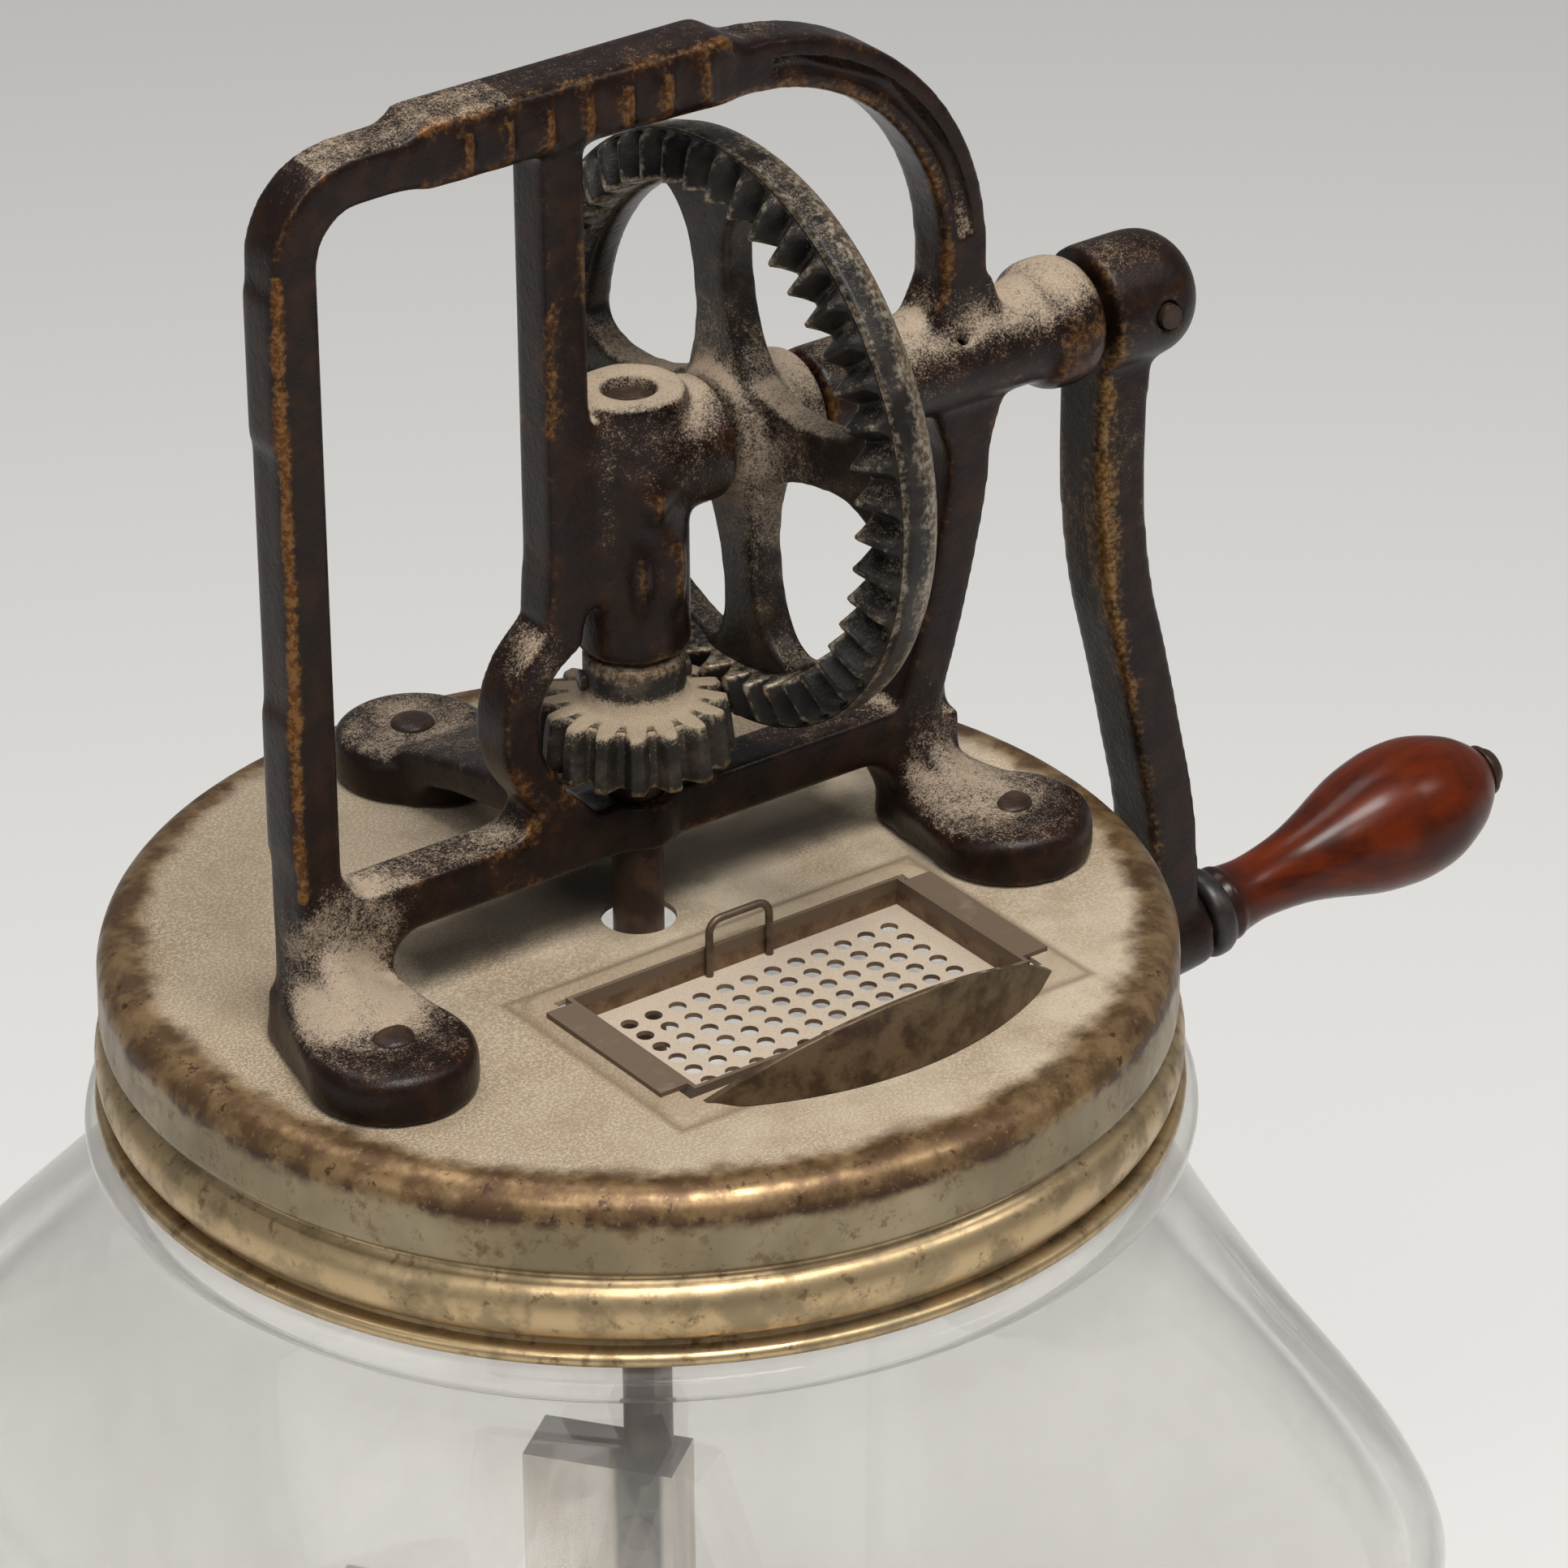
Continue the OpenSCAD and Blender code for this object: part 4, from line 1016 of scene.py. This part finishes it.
def pinion():
    """Pinion with 16 slightly tapered teeth and a neck."""
    teeth, per = 16, 20
    n = teeth * per
    phase = math.radians(11.25)
    # lower and upper end of the teeth, and the outer radius there
    z0, z1 = PINION_LO.z / MM - LID, 30.3
    r0, r1 = 12.35, 11.5
    verts = []
    for i in range(n):
        t = tooth(i, per, 0.15, 0.40)
        a = 2 * math.pi * i / n + phase
        low, top = r0 - 2.1 * (1 - t), r1 - 2.0 * (1 - t)
        prof = [(3.4, z0), (low - 0.9, z0), (low - 0.25, z0 + 0.25), (low, z0 + 0.9)]
        prof += [(low + (top - low) * s, z0 + (z1 - z0) * s) for s in (0.2, 0.4, 0.6, 0.8)]
        prof += [(top, z1 - 0.7), (top - 0.25, z1 - 0.15), (top - 0.9, z1 + 0.05), (9.2, z1 + 0.1),
                 (7.4, z1 + 0.35), (6.8, z1 + 0.9), (6.45, z1 + 2.0), (6.4, 33), (6.4, 36.4), (6.1, 36.9),
                 (5.6, 37.1), (3.4, 37.1)]
        verts += [(r * math.cos(a), r * math.sin(a), z + LID) for r, z in prof]
    ob = toothed("pinion", verts, n)
    # uneven surface, a little under size
    for v in ob.data.vertices:
        p = v.co / MM
        d = noise.noise(Vector(p) * 0.45) * 0.16
        v.co += Vector((p.x, p.y, 0)).normalized() * (d - 0.1) * MM
    mark_edges(ob, 5, 0.3)
    paint(ob, "dusty", lambda x, y, z: 1.0 * np.exp(-((z - 31) / 1.6) ** 2) + 0.25)
    return ob


place(pinion(), M_PINION, "dasher", "iron_wheel", "pinion_gear")
soft_copy("pinion_pin", "pinion_pin_steel", M_PIN, "dasher", "rivet", 0.3)
soft_copy("crank_shaft", "shaft_steel", M_ROD, "crank", "steel", 0.3)
soft_copy("gear_pin", "gear_pin_steel", M_PIN, "crank", "rivet", 0.4, 3)


# -------------------------------------------------------------- crank and grip

def crank():
    """The crank arm, rounded and worn like a casting."""
    ob = join("crank_casting", [cad_copy("crank_arm", "arm")])
    cast(ob, 0.5, 30)
    paint(ob, "gold", arm_wear_and_light)
    dust = ((0.8, (72, -4, 45), 13), (0.3, (72, 0, 70), 9))
    paint(ob, "dusty", lambda x, y, z: blobs(x, y, z, dust))
    return ob


def arm_wear_and_light(x, y, z):
    """Paint worn off the ridge along the arm, and its -X side lightened towards gold brown, partly wear and
    partly painted light.
    """
    centre = np.interp(z, [-30, -12, 0, 13, 25, 42, 62], [82.5, 81.4, 78.9, 76.1, 73.2, 71.8, 73])
    ridge = np.exp(-((x - centre + 3.2) / 1.6) ** 2) * (y < -1)
    v = ridge * (0.1 + 0.25 * np.exp(-((z - 30) / 22.0) ** 2)) + 0.4 * blob(x, y, z, (71, -4, 35), 15)
    # the -X side below 55 mm: partly worn paint, partly painted light on that lit side
    return v + 0.45 * blob(x, y, z, (72, -7, 60), 9) + 0.3 * (x < centre - 1) * (z < 55)


place(crank(), M_ARM, "crank", "iron_arm", "crank_arm")
soft_copy("crank_pin", "crank_pin_steel", M_PIN, "crank", "rivet", 0.3)


def grip_frame():
    """Matrix that stands local Z on the grip's axis."""
    j = JOINTS["grip_turn"]
    z = Vector(j["axis"]).normalized()
    y = Vector((0, 1, 0))
    x = y.cross(z).normalized()
    m = Matrix((x, y, z)).transposed().to_4x4()
    m.translation = Vector(j["pos_m"])
    return m


GRIP = grip_frame()


def on_grip(ob):
    """Moves a mesh from the grip's own axes into the CAD frame."""
    ob.data.transform(GRIP)
    ob.data.update()
    return ob


def grip():
    """Turned grip: a smooth curve through (share of the length, radius)."""
    shape = [(0, 4.9), (0.03, 5.2), (0.06, 4.75), (0.13, 4.4), (0.21, 4.6), (0.3, 5.2), (0.39, 6.3),
             (0.48, 7.7), (0.56, 8.75), (0.65, 9.4), (0.71, 9.5), (0.78, 9.2), (0.84, 8.4), (0.91, 6.95),
             (0.955, 5.5), (0.985, 4.2), (1, 3.4)]
    length, start = 46.0, 3.4
    prof = [(2.5, start)]
    for k in range(len(shape) - 1):
        p0, p1, p2, p3 = (shape[max(k - 1, 0)], shape[k], shape[k + 1], shape[min(k + 2, len(shape) - 1)])
        for s in range(6):
            t = s / 6
            v = [0.5 * (2 * p1[i] + (p2[i] - p0[i]) * t + (2 * p0[i] - 5 * p1[i] + 4 * p2[i] - p3[i]) * t * t
                        + (3 * p1[i] - p0[i] - 3 * p2[i] + p3[i]) * t ** 3) for i in (0, 1)]
            prof.append((v[1], start + v[0] * length))
    prof += [(3.4, start + length), (2.5, start + length)]
    return on_grip(revolve("grip_turned", prof, 96))


place(grip(), M_GRIP, "grip", "grip_wood", "wood_grip")
RING = [(2.5, 0), (4.9, 0), (5.7, 0.3), (6.05, 1.0), (6.1, 1.7), (6.05, 2.4), (5.7, 3.1), (5.0, 3.4),
        (2.5, 3.4)]
place(on_grip(revolve("ferrule_ring", RING, 72)), M_BLACK, "grip", "ferrule", "grip_ferrule")
soft_copy("grip_spindle", "spindle_steel", M_PIN, "crank", "steel", 0.4, 3)
soft_copy("grip_washer", "washer_steel", M_PIN, "crank", "steel", 0.2, 2)


# ---------------------------------------------------------------------- dasher

soft_copy("dasher_rod", "rod_steel_bar", M_ROD, "dasher", "steel", 0.3)
soft_copy("dasher_stem", "stem_block", M_STEM, "dasher", "dasher_wood", 0.8, 3)
for k in (1, 2, 3, 4):
    soft_copy("dasher_blade_%d" % k, "blade_board_%d" % k, M_BLADE, "dasher", "dasher_wood", 0.8, 3)
soft_copy("dasher_rivets", "nails", M_PIN, "dasher", "rivet", 0.25)


# ---------------------------------------------------------------------- studio

def floor_material():
    """Pale paper with painted shade: it greys farther from the camera, behind the churn."""
    g = Graph("floor")
    # painted shade: darker along the camera's horizontal heading, away from it
    d = g.add(g.mul(g.xyz[0], 0.533), g.mul(g.xyz[1], 0.713))
    color = g.mix(g.step(d, -0.4, 1.1), (0.80, 0.79, 0.775), (0.64, 0.632, 0.622))
    return g.finish(color, 0.9, 0.0)


# half the floor's side, in millimetres
REACH = 6000
corners = [(-REACH, -REACH, 0), (REACH, -REACH, 0), (REACH, REACH, 0), (-REACH, REACH, 0)]
floor = add_mesh("floor", corners, [(0, 1, 2, 3)], False)
floor.data.materials.append(floor_material())

world = bpy.data.worlds.new("studio")
world.use_nodes = True
sky = world.node_tree.nodes["Background"].inputs
sky["Color"].default_value = (0.94, 0.95, 0.97, 1)
sky["Strength"].default_value = 0.22
bpy.context.scene.world = world


def softbox(name, at, to, size, power, color=(1, 1, 1)):
    """Oblong light, its size in metres and its power in watts."""
    data = bpy.data.lights.new(name, "AREA")
    data.shape = "RECTANGLE"
    data.size, data.size_y = size
    data.energy = power
    data.color = color
    ob = bpy.data.objects.new(name, data)
    ob.location = at
    ob.rotation_mode = "QUATERNION"
    ob.rotation_quaternion = (Vector(to) - Vector(at)).to_track_quat("-Z", "Y")
    bpy.context.scene.collection.objects.link(ob)


softbox("overhead", (-0.05, -0.48, 1.5), (0, 0, 0.25), (0.45, 0.36), 15, (1.0, 0.98, 0.95))
softbox("back", (-0.1, 0.5, 1.4), (0, 0, 0.25), (0.9, 0.4), 4.5, (1.0, 0.99, 0.97))
softbox("front", (-0.62, -0.86, 1.45), (0, 0, 0.22), (1.0, 0.3), 7.5, (1.0, 0.985, 0.96))
softbox("left", (-1.3, -0.2, 0.9), (0, 0, 0.25), (0.25, 0.8), 1.3)
softbox("right", (0.75, -0.75, 1.35), (0, 0, 0.22), (0.3, 0.4), 3)

# The camera is solved from the lid's ellipse and the frame's straight edges. It stands about
# 0.93 m from the lid's centre: lens in millimetres on a sensor 36 mm wide.
cam_data = bpy.data.cameras.new("camera")
cam_data.lens = 172.87
cam_data.sensor_width = 36
cam_data.clip_start, cam_data.clip_end = 0.05, 50
camera = bpy.data.objects.new("camera", cam_data)
right = Vector((0.80578, -0.59216, -0.00752))
up = Vector((0.28807, 0.38082, 0.87863))
ahead = Vector((0.51743, 0.71015, -0.47745))
m = Matrix((right, up, -ahead)).transposed().to_4x4()
m.translation = Vector((-0.45966, -0.66141, 0.45570 + LID * MM))
camera.matrix_world = m
bpy.context.scene.collection.objects.link(camera)
bpy.context.scene.camera = camera
bpy.context.scene.view_settings.view_transform = "Standard"
